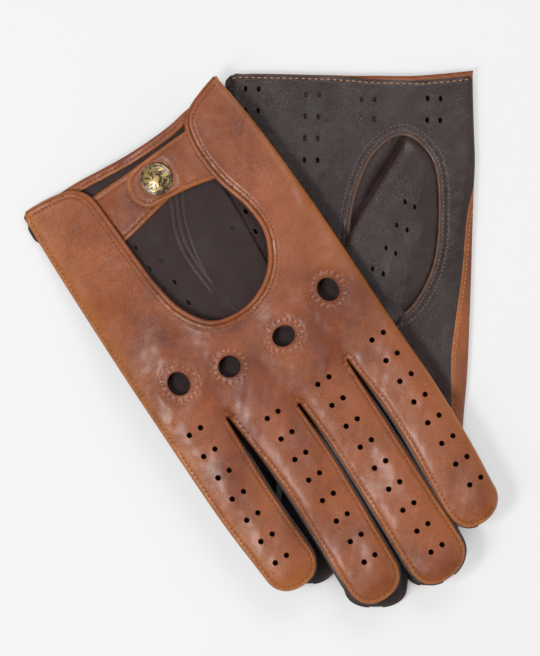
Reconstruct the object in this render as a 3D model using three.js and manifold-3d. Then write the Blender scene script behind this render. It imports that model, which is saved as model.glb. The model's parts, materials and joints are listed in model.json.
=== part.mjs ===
// A pair of unlined leather driving gloves, the left one lying palm up with the right one
// laid across it back up. Millimetres, +Z up. The origin is on the resting plane, under the
// middle of the pair.
//
// Both gloves come from one set of patterns in a glove frame: x runs from the index side (-)
// to the little-finger side (+), y from the cuff to the fingertips, and z from the palm (-)
// to the back of the hand (+). The left glove is the same set mirrored in z.
import * as THREE from "three";
import { mergeVertices } from "three/addons/utils/BufferGeometryUtils.js";
import Module from "manifold-3d";

const wasm = await Module();
wasm.setup();

// ---------------------------------------------------------------- driving dimensions
const LEATHER = 1.0;
const GAP = 0.3;
const HAND_TOP = 3.5;
const CUFF_TOP = 1.1;
const PALM_BOTTOM = -3.5;
const CUFF_FLAT_END = 45;
const HAND_FULL_START = 85;
const EDGE_BACK = 0.0;
const EDGE_PALM = -2.9;
const SHOULDER = 8;
const HAND_LENGTH = 143.7;
const FINGER_EDGE = 1.7;
const FOURCHETTE_INSET = 3;
const FOURCHETTE_HALF_HEIGHT = 1.2;
const FOURCHETTE_THICKNESS = 0.8;
const THUMB_CLEARANCE = 0.4;
const THUMB_THICKNESS = 4;
const PIPING_WIDTH = 3;
const PIPING_HEIGHT = 1.5;
const PIPING_PROUD = 0.2;
const HEM_RING = 1.2;
const HEM_COUNT = 16;
const WELT_WIDTH = 2;
const WELT_HEIGHT = 1.2;
const KEYHOLE_COUNT = 28;
const SNAP_AT = [-5.2, 22];
const SNAP_HOLE = 2;
const SNAP_COUNT = 20;
const STRAP_THICKNESS = 0.7;
const OVER_STRAP_TOP = 1.55;
const UNDER_STRAP_TOP = -0.8;

// Where each glove lies: the middle of its cuff edge, and its turn about Z in degrees.
const LEFT_GLOVE = { at: [41.68, 123.52], turn: 178.7 };
const RIGHT_GLOVE = { at: [-63.82, 90.82], turn: 214.0 };
const THUMB_LAYER = THUMB_CLEARANCE + THUMB_THICKNESS;
const LEFT_HEIGHT = HAND_TOP;
const RIGHT_HEIGHT = 2 * HAND_TOP + 2 * THUMB_LAYER + THUMB_CLEARANCE - PALM_BOTTOM;
// The right cuff droops from the left glove's edge to the table between these world x values.
const DROOP_START = -43.3;
const DROOP_END = -111.3;
const DROOP_DEPTH = RIGHT_HEIGHT + PALM_BOTTOM;

// Side edges of the hand, as [y, x] pairs.
const INDEX_EDGE = [[0, -54.5], [20, -56.5], [60, -58.5], [144, -58.5]];
const PINKY_EDGE = [[0, 54.5], [30, 56.5], [80, 57.5], [144, 57.5]];
const WRAP_BORDER = [[0, -60], [52, -57], [62, -55], [90, -53], [112, -50.5], [144, -49]];

// Each finger: its base line, where its round tip starts and ends, and its two side edges.
const FINGERS = {
  index: {
    base: 140, tip: 235.7, round: 13,
    low: [[140, -58.5], [170, -59], [223, -55.5]], high: [[140, -31.7], [170, -33.5], [223, -30]],
    walls: { inner: 1 },
  },
  middle: {
    base: 144, tip: 248, round: 13,
    low: [[144, -30.8], [170, -30.3], [235, -29]], high: [[144, -2.3], [170, -4.5], [235, -1]],
    walls: { index_side: -1, ring_side: 1 },
  },
  ring: {
    base: 144, tip: 239.5, round: 13,
    low: [[144, -0.9], [170, -0.5], [226, 1.7]], high: [[144, 27.2], [170, 25.4], [226, 27.6]],
    walls: { middle_side: -1, pinky_side: 1 },
  },
  pinky: {
    base: 131, tip: 213.5, round: 12,
    low: [[131, 29.6], [170, 31.3], [201, 30.8]], high: [[131, 57.5], [170, 57.2], [201, 55]],
    walls: { inner: -1 },
  },
};

// The open knuckle holes: centre and half sizes of the finished opening.
const KNUCKLES = {
  index: { at: [-42, 107.7], half: [4.8, 5.5] },
  middle: { at: [-13.3, 114], half: [5.5, 4.6] },
  ring: { at: [15, 111.7], half: [5, 5] },
  pinky: { at: [38.6, 105.3], half: [4.6, 5.3] },
};

// The wrist opening in the back, from the index-side shoulder round to the other one.
const OPENING = [
  [-45, -1.5], [-35, 3.5], [-30.3, 10], [-29.7, 22], [-31, 38], [-35.5, 56], [-35, 72], [-25, 88],
  [-8, 96], [11, 93], [21, 80], [24.8, 63], [26, 42], [26.7, 22], [28.5, 9], [33, 3.8], [43, -1.5],
];
const OPENING_FIRST = 0.09;
const OPENING_LAST = 0.91;

// The keyhole in the palm that the thumb is sewn into.
const KEYHOLE = [
  [-25, 27], [-38, 37], [-42, 60], [-38.5, 91], [-25, 110], [-12, 107], [-3, 92], [-1, 72],
  [-5, 50], [-13, 34],
];

// The thumb: a point on its centre line, its lean, and its ends measured along the line.
const THUMB = {
  at: [-28.5, 59], lean: 24.4, start: -30, end: 98, base: 9, round: 15,
  low: [[-21, -5], [-5, -12], [25, -20], [50, -17.5], [83, -15.5]],
  high: [[-21, 15], [-5, 18], [30, 18.5], [50, 17], [83, 15.5]],
};

// The over-strap: from its root to where its round end begins, and its two edges.
const OVER_STRAP = {
  from: -26, to: 1.5, round: 7, low: 11.8, high: [[-26, 36.5], [-14, 33.2], [1.5, 32]],
};
// The under-strap, whose root runs under the back leather.
const UNDER_STRAP = {
  from: -16, to: 33, low: 12.3, high: [[-16, 31], [0, 33.5], [22, 37.5], [33, 38]],
};
// The hem inside the palm's cuff edge.
const FACING = { half: 40, low: 3, high: 9.5, top: -1.4, bottom: -2.0 };

// Cutting blocks reach this far past what they cut.
const BEYOND = 10;

// ---------------------------------------------------------------- materials
const LEATHERS = {
  tan: new THREE.MeshStandardMaterial({ color: 0x9c5f3c, roughness: 0.5, metalness: 0 }),
  dark: new THREE.MeshStandardMaterial({ color: 0x423837, roughness: 0.6, metalness: 0 }),
  brass: new THREE.MeshStandardMaterial({ color: 0xa08a45, roughness: 0.4, metalness: 0.9 }),
};

// ---------------------------------------------------------------- small geometry helpers
/** Straight-line value at `at` through [place, value] pairs. */
function along(pairs, at) {
  const last = pairs.length - 1;
  let k = 1;
  while (k < last && at > pairs[k][0]) k += 1;
  const [p, a] = pairs[k - 1];
  const [q, b] = pairs[k];
  return THREE.MathUtils.mapLinear(THREE.MathUtils.clamp(at, pairs[0][0], pairs[last][0]), p, q, a, b);
}

/** Evenly spaced numbers from a to b, both included. */
function steps(a, b, count) {
  return Array.from({ length: count + 1 }, (_, k) => a + ((b - a) * k) / count);
}

/** One closed skin with shared corners. */
function closed(geometry) {
  geometry.deleteAttribute("normal");
  geometry.deleteAttribute("uv");
  return mergeVertices(geometry, 1e-4);
}

/** A closed panel: a box grid whose corners are set by place(column, row, outer). */
function panel(columns, rows, place) {
  const box = new THREE.BoxGeometry(1, 1, 1, columns, rows, 1);
  const spots = box.getAttribute("position");
  for (let k = 0; k < spots.count; k += 1) {
    const i = Math.round((spots.getX(k) + 0.5) * columns);
    const j = Math.round((spots.getY(k) + 0.5) * rows);
    spots.setXYZ(k, ...place(i, j, spots.getZ(k) > 0));
  }
  return closed(box);
}

function solid(geometry) {
  const vertProperties = new Float32Array(geometry.getAttribute("position").array);
  const triVerts = new Uint32Array(geometry.getIndex().array);
  return new wasm.Manifold(new wasm.Mesh({ numProp: 3, vertProperties, triVerts }));
}

/** The geometry with every cutter taken out of it. */
function cut(geometry, cutters) {
  let body = solid(geometry);
  for (const cutter of cutters) body = body.subtract(solid(cutter));
  const mesh = body.getMesh();
  const result = new THREE.BufferGeometry();
  result.setAttribute("position", new THREE.Float32BufferAttribute(mesh.vertProperties, 3));
  result.setIndex(new THREE.Uint32BufferAttribute(mesh.triVerts, 1));
  return result;
}

/** A flat outline pushed along z from low to high. */
function prism(points, low, high) {
  const shape = new THREE.Shape(points.map(([x, y]) => new THREE.Vector2(x, y)));
  const block = new THREE.ExtrudeGeometry(shape, { depth: high - low, bevelEnabled: false });
  return closed(block.translate(0, 0, low));
}

function ellipse([cx, cy], [a, b], count) {
  return steps(0, 2 * Math.PI, count)
    .slice(1)
    .map((t) => [cx + a * Math.cos(t), cy + b * Math.sin(t)]);
}

/** A turned piece on the z axis, from [radius, height] pairs. */
function turned(profile, count) {
  const points = profile.map(([r, z]) => new THREE.Vector2(r, z));
  return closed(new THREE.LatheGeometry(points, count).rotateX(Math.PI / 2));
}

/** Points on the smooth line through `knots`, moved sideways by `offset`. */
function smoothLine(knots, { loop = false, from = 0, to = 1, count, offset = 0 }) {
  const line = new THREE.CatmullRomCurve3(
    knots.map(([x, y]) => new THREE.Vector3(x, y, 0)), loop, "centripetal");
  return steps(from, to, count).map((t) => {
    const p = line.getPointAt(t);
    const d = line.getTangentAt(t);
    return [p.x + d.y * offset, p.y - d.x * offset];
  });
}

/** A closed loop keeps each point once. */
function smoothLoop(knots, count, offset) {
  return smoothLine(knots, { loop: true, count, offset }).slice(1);
}

// ---------------------------------------------------------------- the hand
/** Height of the back leather's outer face over its flat part. */
function backTop(y) {
  const rise = THREE.MathUtils.smoothstep(y, CUFF_FLAT_END, HAND_FULL_START);
  return CUFF_TOP + (HAND_TOP - CUFF_TOP) * rise;
}

/** How far a side edge has rounded over, 1 on the flat and 0 at the very edge. */
function shoulder(t) {
  return Math.sqrt(Math.max(0, 1 - t * t));
}

/** The index-side fold at y: its centre, radius and the two leather mid-surfaces it joins. */
function fold(y) {
  const high = backTop(y) - LEATHER / 2;
  const low = PALM_BOTTOM + LEATHER / 2;
  const radius = (high - low) / 2;
  return { x: along(INDEX_EDGE, y) + LEATHER / 2 + radius, radius, high, low };
}

/** Where the tan leather that wraps round the index side stops on the palm. */
function wrapEnd(y) {
  return Math.max(along(WRAP_BORDER, y), fold(y).x + 0.8);
}

const HAND_ROWS = [0, 9, 18, 27, 36, 45, 55, 65, 75, 85, 97, 110, 121, 131, HAND_LENGTH];
const FOLD_ANGLES = [270, 225, 180, 135, 90];
const BACK_FLAT = steps(0, 1, 9).slice(1);
const EDGE_STEPS = [0.45, 0.8, 1];

/** Mid-surface stations of the back leather at y: [x, z, outward x, outward z]. */
function backStations(y) {
  const { x, radius, high, low } = fold(y);
  const middle = (high + low) / 2;
  const edge = along(PINKY_EDGE, y);
  const flatEnd = edge - SHOULDER;
  const bend = FOLD_ANGLES.map((degrees) => {
    const angle = THREE.MathUtils.degToRad(degrees);
    const c = Math.cos(angle);
    const s = Math.sin(angle);
    return [x + radius * c, middle + radius * s, c, s];
  });
  const flat = BACK_FLAT.map((t) => [x + (flatEnd - x) * t, high, 0, 1]);
  const foot = EDGE_BACK - LEATHER / 2;
  const side = EDGE_STEPS.map((t) => [flatEnd + SHOULDER * t, foot + (high - foot) * shoulder(t), 0, 1]);
  return [[wrapEnd(y), low, 0, -1], ...bend, ...flat, ...side];
}

/** The blocks that end the hand below the two shorter fingers' base lines. */
function cutBelowFingers() {
  const far = HAND_LENGTH + BEYOND;
  const index = FINGERS.index.base - GAP;
  const pinky = FINGERS.pinky.base - GAP;
  const indexSide = FINGERS.index.low[0][1] - BEYOND;
  const indexCrotch = FINGERS.index.high[0][1] + GAP;
  const pinkyCrotch = FINGERS.ring.high[0][1] + GAP;
  const pinkySide = FINGERS.pinky.high[0][1] + BEYOND;
  return [
    prism([[indexSide, index], [indexCrotch, index], [indexCrotch, far], [indexSide, far]], -BEYOND, BEYOND),
    prism([[pinkyCrotch, pinky], [pinkySide, pinky], [pinkySide, far], [pinkyCrotch, far]], -BEYOND, BEYOND),
  ];
}

/** Cuts the back leather only: it stops above the palm leather. */
function openingCutter() {
  const line = smoothLine(OPENING, { count: 44 });
  const [first] = line;
  const last = line[line.length - 1];
  return prism([...line, [last[0], last[1] - BEYOND], [first[0], first[1] - BEYOND]],
    PALM_BOTTOM + LEATHER + 0.1, HAND_TOP + BEYOND);
}

function knuckleCutter({ at, half }) {
  return prism(ellipse(at, half.map((r) => r + HEM_RING + GAP), HEM_COUNT), 0, HAND_TOP + BEYOND);
}

function backPanel() {
  const stations = HAND_ROWS.map(backStations);
  const sheet = panel(stations[0].length - 1, HAND_ROWS.length - 1, (i, j, outer) => {
    const [x, z, nx, nz] = stations[j][i];
    const half = outer ? LEATHER / 2 : -LEATHER / 2;
    return [x + nx * half, HAND_ROWS[j], z + nz * half];
  });
  const holes = Object.values(KNUCKLES).map(knuckleCutter);
  return cut(sheet, [openingCutter(), ...holes, ...cutBelowFingers()]);
}

const PALM_FLAT = [0, 0.08, 0.16, 0.24, 0.31, 0.36, 0.41, 0.46, 0.51, 0.56, 0.61, 0.7, 0.8, 0.9, 1];
const PALM_ROWS = [1.5, 8, 13, 18, 23, 28, 33, 39, 47, 58, 72, 90, 110, 131, HAND_LENGTH];

/** The palm: flat, with its little-finger edge turned up to meet the back. */
function palmPanel() {
  const columns = [...PALM_FLAT, ...EDGE_STEPS.map((t) => 1 + t)];
  const sheet = panel(columns.length - 1, PALM_ROWS.length - 1, (i, j, outer) => {
    const y = PALM_ROWS[j];
    const start = wrapEnd(y) + GAP + 0.1;
    const flatEnd = along(PINKY_EDGE, y) - SHOULDER;
    const t = Math.max(0, columns[i] - 1);
    const x = start + (flatEnd - start) * Math.min(columns[i], 1) + SHOULDER * t;
    const z = EDGE_PALM + (PALM_BOTTOM - EDGE_PALM) * shoulder(t);
    return [x, y, outer ? z + LEATHER : z];
  });
  const keyhole = prism(smoothLoop(KEYHOLE, KEYHOLE_COUNT, 0), PALM_BOTTOM - BEYOND, 0);
  return cut(sheet, [keyhole, ...cutBelowFingers()]);
}

/** The raised seam that lines the thumb keyhole. */
function thumbWelt() {
  const outer = smoothLoop(KEYHOLE, KEYHOLE_COUNT, GAP);
  const inner = smoothLoop(KEYHOLE, KEYHOLE_COUNT, GAP + WELT_WIDTH);
  const block = prism(outer, PALM_BOTTOM, PALM_BOTTOM + WELT_HEIGHT);
  return cut(block, [prism(inner, PALM_BOTTOM - BEYOND, PALM_BOTTOM + BEYOND)]);
}

/** The bound edge of the wrist opening, a band that follows the back's surface. */
function openingPiping() {
  const span = { from: OPENING_FIRST, to: OPENING_LAST, count: 34 };
  const outer = smoothLine(OPENING, { ...span, offset: GAP });
  const inner = smoothLine(OPENING, { ...span, offset: GAP + PIPING_WIDTH });
  return panel(1, outer.length - 1, (i, j, top) => {
    const [x, y] = i === 0 ? outer[j] : inner[j];
    const z = Math.min(backTop(y) + PIPING_PROUD, HAND_TOP);
    return [x, y, top ? z : z - PIPING_HEIGHT];
  });
}

/** The turned-in edge of one knuckle hole. */
function knuckleHem({ at, half: [a, b] }) {
  const wide = HEM_RING;
  const outer = ellipse(at, [a + wide, b + wide], HEM_COUNT);
  const inner = ellipse(at, [a, b], HEM_COUNT);
  const block = prism(outer, HAND_TOP - LEATHER, HAND_TOP);
  return cut(block, [prism(inner, HAND_TOP - BEYOND, HAND_TOP + BEYOND)]);
}

/** The hem inside the palm's cuff edge, seen through the wrist opening. */
function cuffFacing() {
  const { half, low, high, top, bottom } = FACING;
  const across = steps(-half, half, 12);
  return panel(across.length - 1, 1, (i, j, outer) => [
    across[i], j === 0 ? low : high, outer ? top : bottom,
  ]);
}

// ---------------------------------------------------------------- the fingers
const FINGER_COLUMNS = [-1, -0.8, -0.5, 0, 0.5, 0.8, 1];
const FINGER_STRAIGHTS = 4;
const TIP_ROWS = [0.45, 0.8, 1];

/** A point of a round-ended strip: `a` across from -1 to 1, `b` into the round end, 0 to 1. */
function roundEnd(a, b) {
  return [a * Math.sqrt(1 - (b * b) / 2), b * Math.sqrt(1 - (a * a) / 2)];
}

/** One cover of a finger. `face` is 1 for the back of the hand and -1 for the palm side. */
function fingerCover(finger, face) {
  const straightEnd = finger.tip - finger.round;
  const straight = steps(finger.base, straightEnd, FINGER_STRAIGHTS);
  const rows = [...straight.map((y) => [y, 0]), ...TIP_ROWS.map((b) => [straightEnd, b])];
  return panel(FINGER_COLUMNS.length - 1, rows.length - 1, (i, j, outer) => {
    const [y, b] = rows[j];
    const [across, ahead] = roundEnd(FINGER_COLUMNS[i], b);
    const low = along(finger.low, y);
    const high = along(finger.high, y);
    const x = (low + high) / 2 + ((high - low) / 2) * across;
    const ring = Math.max(Math.abs(FINGER_COLUMNS[i]), b);
    const rounding = shoulder(Math.max(0, (ring - 0.5) / 0.5));
    const crown = FINGER_EDGE + (HAND_TOP - FINGER_EDGE) * rounding;
    const upper = face > 0 ? crown : -crown + LEATHER;
    return [x, y + finger.round * ahead, outer ? upper : upper - LEATHER];
  });
}

/** The strip between a finger's covers on one side: `side` is -1 or 1. */
function fourchette(finger, side) {
  const edge = side < 0 ? finger.low : finger.high;
  const rows = steps(finger.base + 1, finger.tip - finger.round - 1, FINGER_STRAIGHTS);
  return panel(1, rows.length - 1, (i, j, outer) => {
    const middle = along(edge, rows[j]) - side * FOURCHETTE_INSET;
    const x = middle + (i - 0.5) * FOURCHETTE_THICKNESS;
    return [x, rows[j], outer ? FOURCHETTE_HALF_HEIGHT : -FOURCHETTE_HALF_HEIGHT];
  });
}

/** The thumb, folded flat against the palm. */
function thumb() {
  const { at, lean, start, end, base, round, low, high } = THUMB;
  const straight = steps(start + base, end - round, 6);
  const rows = [
    ...TIP_ROWS.toReversed().map((b) => [start + base, -b * base, b]),
    ...straight.map((s) => [s, 0, 0]),
    ...TIP_ROWS.map((b) => [end - round, b * round, b]),
  ];
  const angle = THREE.MathUtils.degToRad(lean);
  const middle = PALM_BOTTOM - THUMB_CLEARANCE - THUMB_THICKNESS / 2;
  return panel(FINGER_COLUMNS.length - 1, rows.length - 1, (i, j, outer) => {
    const [straightPart, beyond, b] = rows[j];
    const [across, ahead] = roundEnd(FINGER_COLUMNS[i], b);
    const reach = straightPart + (b > 0 ? (beyond * ahead) / b : 0);
    const from = along(low, straightPart);
    const to = along(high, straightPart);
    const side = (from + to) / 2 + ((to - from) / 2) * across;
    const ring = Math.max(Math.abs(FINGER_COLUMNS[i]), b);
    const rounding = shoulder(Math.max(0, (ring - 0.5) / 0.5));
    const thick = 0.5 + (THUMB_THICKNESS / 2 - 0.5) * rounding;
    const x = at[0] + reach * Math.sin(angle) + side * Math.cos(angle);
    const y = at[1] + reach * Math.cos(angle) - side * Math.sin(angle);
    return [x, y, middle + (outer ? thick : -thick)];
  });
}

// ---------------------------------------------------------------- the closure
function snapHole() {
  return prism(ellipse(SNAP_AT, [SNAP_HOLE, SNAP_HOLE], 12), -BEYOND, BEYOND);
}

/** The strap from the index side, with its round free end and the hole for the cap. */
function overStrap() {
  const { from, to, round, low } = OVER_STRAP;
  const columns = [...steps(from, to, 6).map((x) => [x, 0]), ...TIP_ROWS.map((b) => [to, b])];
  const rows = steps(-1, 1, 4);
  const sheet = panel(columns.length - 1, rows.length - 1, (i, j, outer) => {
    const [x, b] = columns[i];
    const [across, ahead] = roundEnd(rows[j], b);
    const high = along(OVER_STRAP.high, x);
    const y = (low + high) / 2 + ((high - low) / 2) * across;
    return [x + round * ahead, y, outer ? OVER_STRAP_TOP : OVER_STRAP_TOP - STRAP_THICKNESS];
  });
  return cut(sheet, [snapHole()]);
}

/** The strap from the little-finger side, which runs under the back leather at its root. */
function underStrap() {
  const { from, to, low } = UNDER_STRAP;
  const columns = steps(from, to, 9);
  const rows = steps(0, 1, 5);
  const sheet = panel(columns.length - 1, rows.length - 1, (i, j, outer) => {
    const x = columns[i];
    const y = low + (along(UNDER_STRAP.high, x) - low) * rows[j];
    return [x, y, outer ? UNDER_STRAP_TOP : UNDER_STRAP_TOP - STRAP_THICKNESS];
  });
  return cut(sheet, [snapHole()]);
}

const SNAP_PARTS = {
  snap_cap: [
    [0, 0.9], [1.5, 0.9], [1.5, 1.8], [6.9, 1.8], [7.4, 2.15], [7.0, 2.6], [5.2, 3.1], [2.8, 3.4],
    [0, 3.5],
  ],
  snap_socket: [[2.6, 0], [5, 0], [5, 0.6], [2.6, 0.6], [2.6, 0]],
  snap_stud: [[0, -0.6], [5, -0.6], [5, -0.25], [2, -0.25], [2.2, 0.15], [1.5, 0.45], [0, 0.45]],
  snap_post: [[0, -2.15], [4.5, -2.15], [4.5, -1.75], [1.5, -1.75], [1.5, -0.85], [0, -0.85]],
};

function snapPart(name) {
  return turned(SNAP_PARTS[name], SNAP_COUNT).translate(SNAP_AT[0], SNAP_AT[1], 0);
}

// ---------------------------------------------------------------- one glove, then the pair
/** Every piece of one glove, as [name, material, geometry]. */
function glovePieces() {
  const pieces = [
    ["back_panel", "tan", backPanel()],
    ["palm_panel", "dark", palmPanel()],
    ["thumb", "dark", thumb()],
    ["thumb_welt", "dark", thumbWelt()],
    ["opening_piping", "tan", openingPiping()],
    ["cuff_facing", "tan", cuffFacing()],
    ["over_strap", "tan", overStrap()],
    ["under_strap", "tan", underStrap()],
  ];
  for (const name of Object.keys(SNAP_PARTS)) pieces.push([name, "brass", snapPart(name)]);
  for (const [name, finger] of Object.entries(FINGERS)) {
    pieces.push([`${name}_back`, "tan", fingerCover(finger, 1)]);
    pieces.push([`${name}_front`, "dark", fingerCover(finger, -1)]);
    for (const [wall, side] of Object.entries(finger.walls)) {
      pieces.push([`${name}_fourchette_${wall}`, "dark", fourchette(finger, side)]);
    }
    pieces.push([`${name}_knuckle_hem`, "tan", knuckleHem(KNUCKLES[name])]);
  }
  return pieces;
}

/** Lets the right glove's cuff hang down to the table beyond the left glove's edge. */
function droop(geometry) {
  const angle = THREE.MathUtils.degToRad(RIGHT_GLOVE.turn);
  const spots = geometry.getAttribute("position");
  for (let k = 0; k < spots.count; k += 1) {
    const across = spots.getX(k) * Math.cos(angle) - spots.getY(k) * Math.sin(angle);
    const worldX = RIGHT_GLOVE.at[0] + across;
    const fall = THREE.MathUtils.smoothstep(DROOP_START - worldX, 0, DROOP_START - DROOP_END);
    spots.setZ(k, spots.getZ(k) - DROOP_DEPTH * fall);
  }
  return geometry;
}

/** One glove, laid on the table at its place and height. */
function glove(hand, place, height, shape) {
  const group = new THREE.Group();
  for (const [name, material, geometry] of glovePieces()) {
    const mesh = new THREE.Mesh(shape(geometry), LEATHERS[material]);
    mesh.name = `${hand}_${name}`;
    group.add(mesh);
  }
  group.position.set(place.at[0], place.at[1], height);
  group.rotation.z = THREE.MathUtils.degToRad(place.turn);
  return group;
}

const pair = new THREE.Group();
const left = glove("left", LEFT_GLOVE, LEFT_HEIGHT, (geometry) => geometry);
left.scale.z = -1;
pair.add(left, glove("right", RIGHT_GLOVE, RIGHT_HEIGHT, droop));

export default pair;
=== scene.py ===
"""A pair of unlined leather driving gloves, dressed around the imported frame.

Patterns are in millimetres in a glove frame: x from the index side (-) to the little-finger
side (+), y from the cuff to the fingertips, z from the palm (-) to the back of the hand (+).
A Glove turns them into metres in the frame's own axes; the left glove is mirrored in z.
"""
import json
import math

import bpy
import numpy as np
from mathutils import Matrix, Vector, geometry


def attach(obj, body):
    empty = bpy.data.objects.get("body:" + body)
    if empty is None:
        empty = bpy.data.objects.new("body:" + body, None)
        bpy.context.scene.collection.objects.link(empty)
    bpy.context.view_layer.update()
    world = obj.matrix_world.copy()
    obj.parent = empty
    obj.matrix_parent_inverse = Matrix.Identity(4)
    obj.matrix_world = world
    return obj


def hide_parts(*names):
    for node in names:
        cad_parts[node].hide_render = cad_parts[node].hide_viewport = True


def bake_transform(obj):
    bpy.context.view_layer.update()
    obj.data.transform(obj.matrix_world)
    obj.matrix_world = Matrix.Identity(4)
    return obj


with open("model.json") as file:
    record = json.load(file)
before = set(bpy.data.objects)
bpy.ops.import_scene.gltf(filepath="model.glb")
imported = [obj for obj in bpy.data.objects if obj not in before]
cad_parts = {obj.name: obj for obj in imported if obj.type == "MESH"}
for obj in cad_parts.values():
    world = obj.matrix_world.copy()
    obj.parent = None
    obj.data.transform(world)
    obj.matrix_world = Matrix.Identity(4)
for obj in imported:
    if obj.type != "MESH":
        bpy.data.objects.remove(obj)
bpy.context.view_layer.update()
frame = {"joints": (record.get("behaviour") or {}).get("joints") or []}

MM = 0.001

# ------------------------------------------------------------------ patterns, millimetres
LEATHER = 1.0
HAND_TOP = 3.5
CUFF_TOP = 1.1
PALM_BOTTOM = -3.5
CUFF_FLAT_END = 45
HAND_FULL_START = 85
GRID = 1.35                     # spacing of the fine leather mesh
SEAM_INSET = 1.8                # from a sewn edge to its stitch line
STITCH_PITCH = 2.3
WHIP_COUNT = 17                 # stitches round a knuckle hole
SNAP_AT = np.array([-5.2, 22.0])

INDEX_EDGE = {
    "left": [(-3.2, -55.9), (10, -56.4), (27, -57.3), (38, -57.9), (54, -57.6), (97, -57.3),
             (129, -56.8), (140, -56.4)],
    "right": [(-2, -53.9), (20, -56.5), (60, -58.5), (140, -58.5)],
}
PINKY_EDGE = {
    "left": [(1, 56.2), (30, 56.8), (80, 57.2), (131, 57.1)],
    "right": [(1, 55.2), (30, 56.5), (80, 57.6), (131, 57.9)],
}
WRAP_BORDER = [(44, -58.6), (52, -57), (62, -55), (90, -53), (112, -50.5), (128, -49),
               (150, -49.5), (200, -50.5), (216, -53)]
WRAP_START = 49
WRAP_END = 216
INDEX_ROOT = 139.4              # heights at which the hand panels end on either side
PINKY_ROOT = 130.4

FINGERS = {
    "index": dict(base=140, tip=235.7, tip_x=-41.5,
                  low=[(140, -58.5), (170, -58.8), (205, -56.9), (223, -55)],
                  high=[(140, -31.7), (170, -33.5), (223, -30)]),
    "middle": dict(base=144, tip=248, tip_x=-14,
                   low=[(144, -30.8), (170, -30.3), (235, -29)],
                   high=[(144, -2.3), (170, -3.4), (235, -1)]),
    "ring": dict(base=144, tip=239.5, tip_x=15,
                 low=[(144, -0.9), (170, -1.2), (226, 1.7)],
                 high=[(144, 27.2), (170, 25.4), (226, 27.6)]),
    "pinky": dict(base=131, tip=213.5, tip_x=43,
                  low=[(131, 29.6), (170, 31.3), (201, 30.8)],
                  high=[(131, 57.9), (170, 57.7), (201, 55.9)]),
}
# The left glove's fingers lie a little shorter and closer than the pattern.
LEFT_FINGERS = {
    "index": dict(tip=233.3, tip_x=-40,
                  low=[(140, -56.4), (160, -55.2), (205, -54.2), (223, -52.8)]),
    "middle": dict(tip=243.8, tip_x=-16, low=[(144, -30.8), (170, -30.3), (235, -30.5)],
                   high=[(144, -2.3), (170, -4.5), (235, -3)]),
    "ring": dict(tip=233.8, tip_x=15, low=[(144, -0.9), (170, -0.5), (222, 1.7)],
                 high=[(144, 27.2), (170, 25.4), (222, 27.6)]),
    "pinky": dict(tip=212, tip_x=41.5, high=[(131, 57.1), (170, 55.4), (201, 53)]),
}
CROTCHES = {"index": (-31.2, 139.2), "middle": (-1.6, 143.2), "ring": (28.4, 130.2)}
FINGER_ORDER = ["index", "middle", "ring", "pinky"]

KNUCKLES = {
    "index": dict(at=(-42, 107.7), half=(5.1, 5.8)),
    "middle": dict(at=(-13.3, 114), half=(5.7, 4.9)),
    "ring": dict(at=(15, 111.7), half=(5.4, 5.2)),
    "pinky": dict(at=(38.6, 105.3), half=(5.2, 5.8)),
}

OPENING = [(-54.3, -0.7), (-45.5, 1.7), (-37.6, 4.7), (-33.2, 8.2), (-31.2, 13), (-29.8, 22),
           (-31, 38), (-35.5, 56), (-35, 72), (-25, 88), (-8, 96), (11, 93), (21, 80), (24.8, 63),
           (26, 42), (26.7, 22), (27.2, 14.5), (28.6, 9.5), (31.5, 6), (37, 4.1), (45.7, 2.8), (54, 2.4)]
# The cuff edges as (x, y): of the palm leather, and of the tan hem that shows beyond it.
PALM_CUFF = {
    "left": [(-56, -0.7), (-41, 1.3), (-28, 2.2), (-10.5, 2.1), (-1.8, 1.6), (16, 1), (50, 1.2),
             (55, 1.7), (56, 2.4)],
    "right": [(-53.4, 1.3), (-44, 2.2), (-30, 6.2), (-15, 7.2), (0, 7), (13, 5.8), (26, 4.8), (44, 2.8),
              (54, 1.6)],
}
TAN_CUFF = {
    "left": [(-56, -3.3), (-41, -1.4), (-28, -0.2), (-10.5, 0.1), (-1.8, 0.3), (16, 0.3), (50, 0.8),
             (54, 1.8)],
    "right": [(-51, 2.2), (-33, 3.6), (-25, 4.9), (-15, 5.5), (0, 5.3), (13, 4.1), (26, 2.7), (35, 2.4),
              (50, 3)],
}
HEM_WIDTH = 4.4
KEYHOLE = [(-25, 27), (-38, 37), (-42, 60), (-38.5, 91), (-25, 110), (-12, 107), (-3, 92),
           (-1, 72), (-5, 50), (-13, 34)]

THUMB_AT = np.array([-28.5, 59.0])
THUMB_LEAN = math.radians(24.4)
THUMB_LOW = [(50, -18.3), (66, -17.2), (83, -15.5)]
THUMB_HIGH = [(-26, 14.9), (-22, 15.1), (-10, 16.5), (1.5, 17.7), (27, 19), (50, 17.2), (83, 15.5)]
THUMB_TIP = 98

# Ventilation holes, as rows of [left x, right x, y].
HOLE_RADIUS = 1.5
PALM_HOLE = (1.05, 1.6)         # half width and half height; the holes are stretched
BACK_HOLES = {
    "index": [(-52, -45.7, 138 + 11.4 * k) for k in range(8)],
    "middle": [(-20, -13.9, 141 + 11.55 * k) for k in range(9)],
    "ring": [(8, 14, 141 + 11.3 * k) for k in range(8)],
    "pinky": [(41.6, 47.8, 127.5 + 11.7 * k) for k in range(7)],
}
PALM_HOLES = {
    "left": [(-41.5, -35.5, y) for y in (10, 20)] + [(-11.3, -5.3, y) for y in (11, 20)]
            + [(14.3, 20.3, 9.5 + 10 * k) for k in range(4)]
            + [(42, 48, 7.5 + 10 * k) for k in range(4)],
    "right": [(-41.5, -35.5, 12), (-11.3, -5.3, 14)] + [(14.3, 20.3, 20 + 11.4 * k) for k in range(7)]
             + [(42, 48, 8 + 11.4 * k) for k in range(10)],
}
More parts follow.
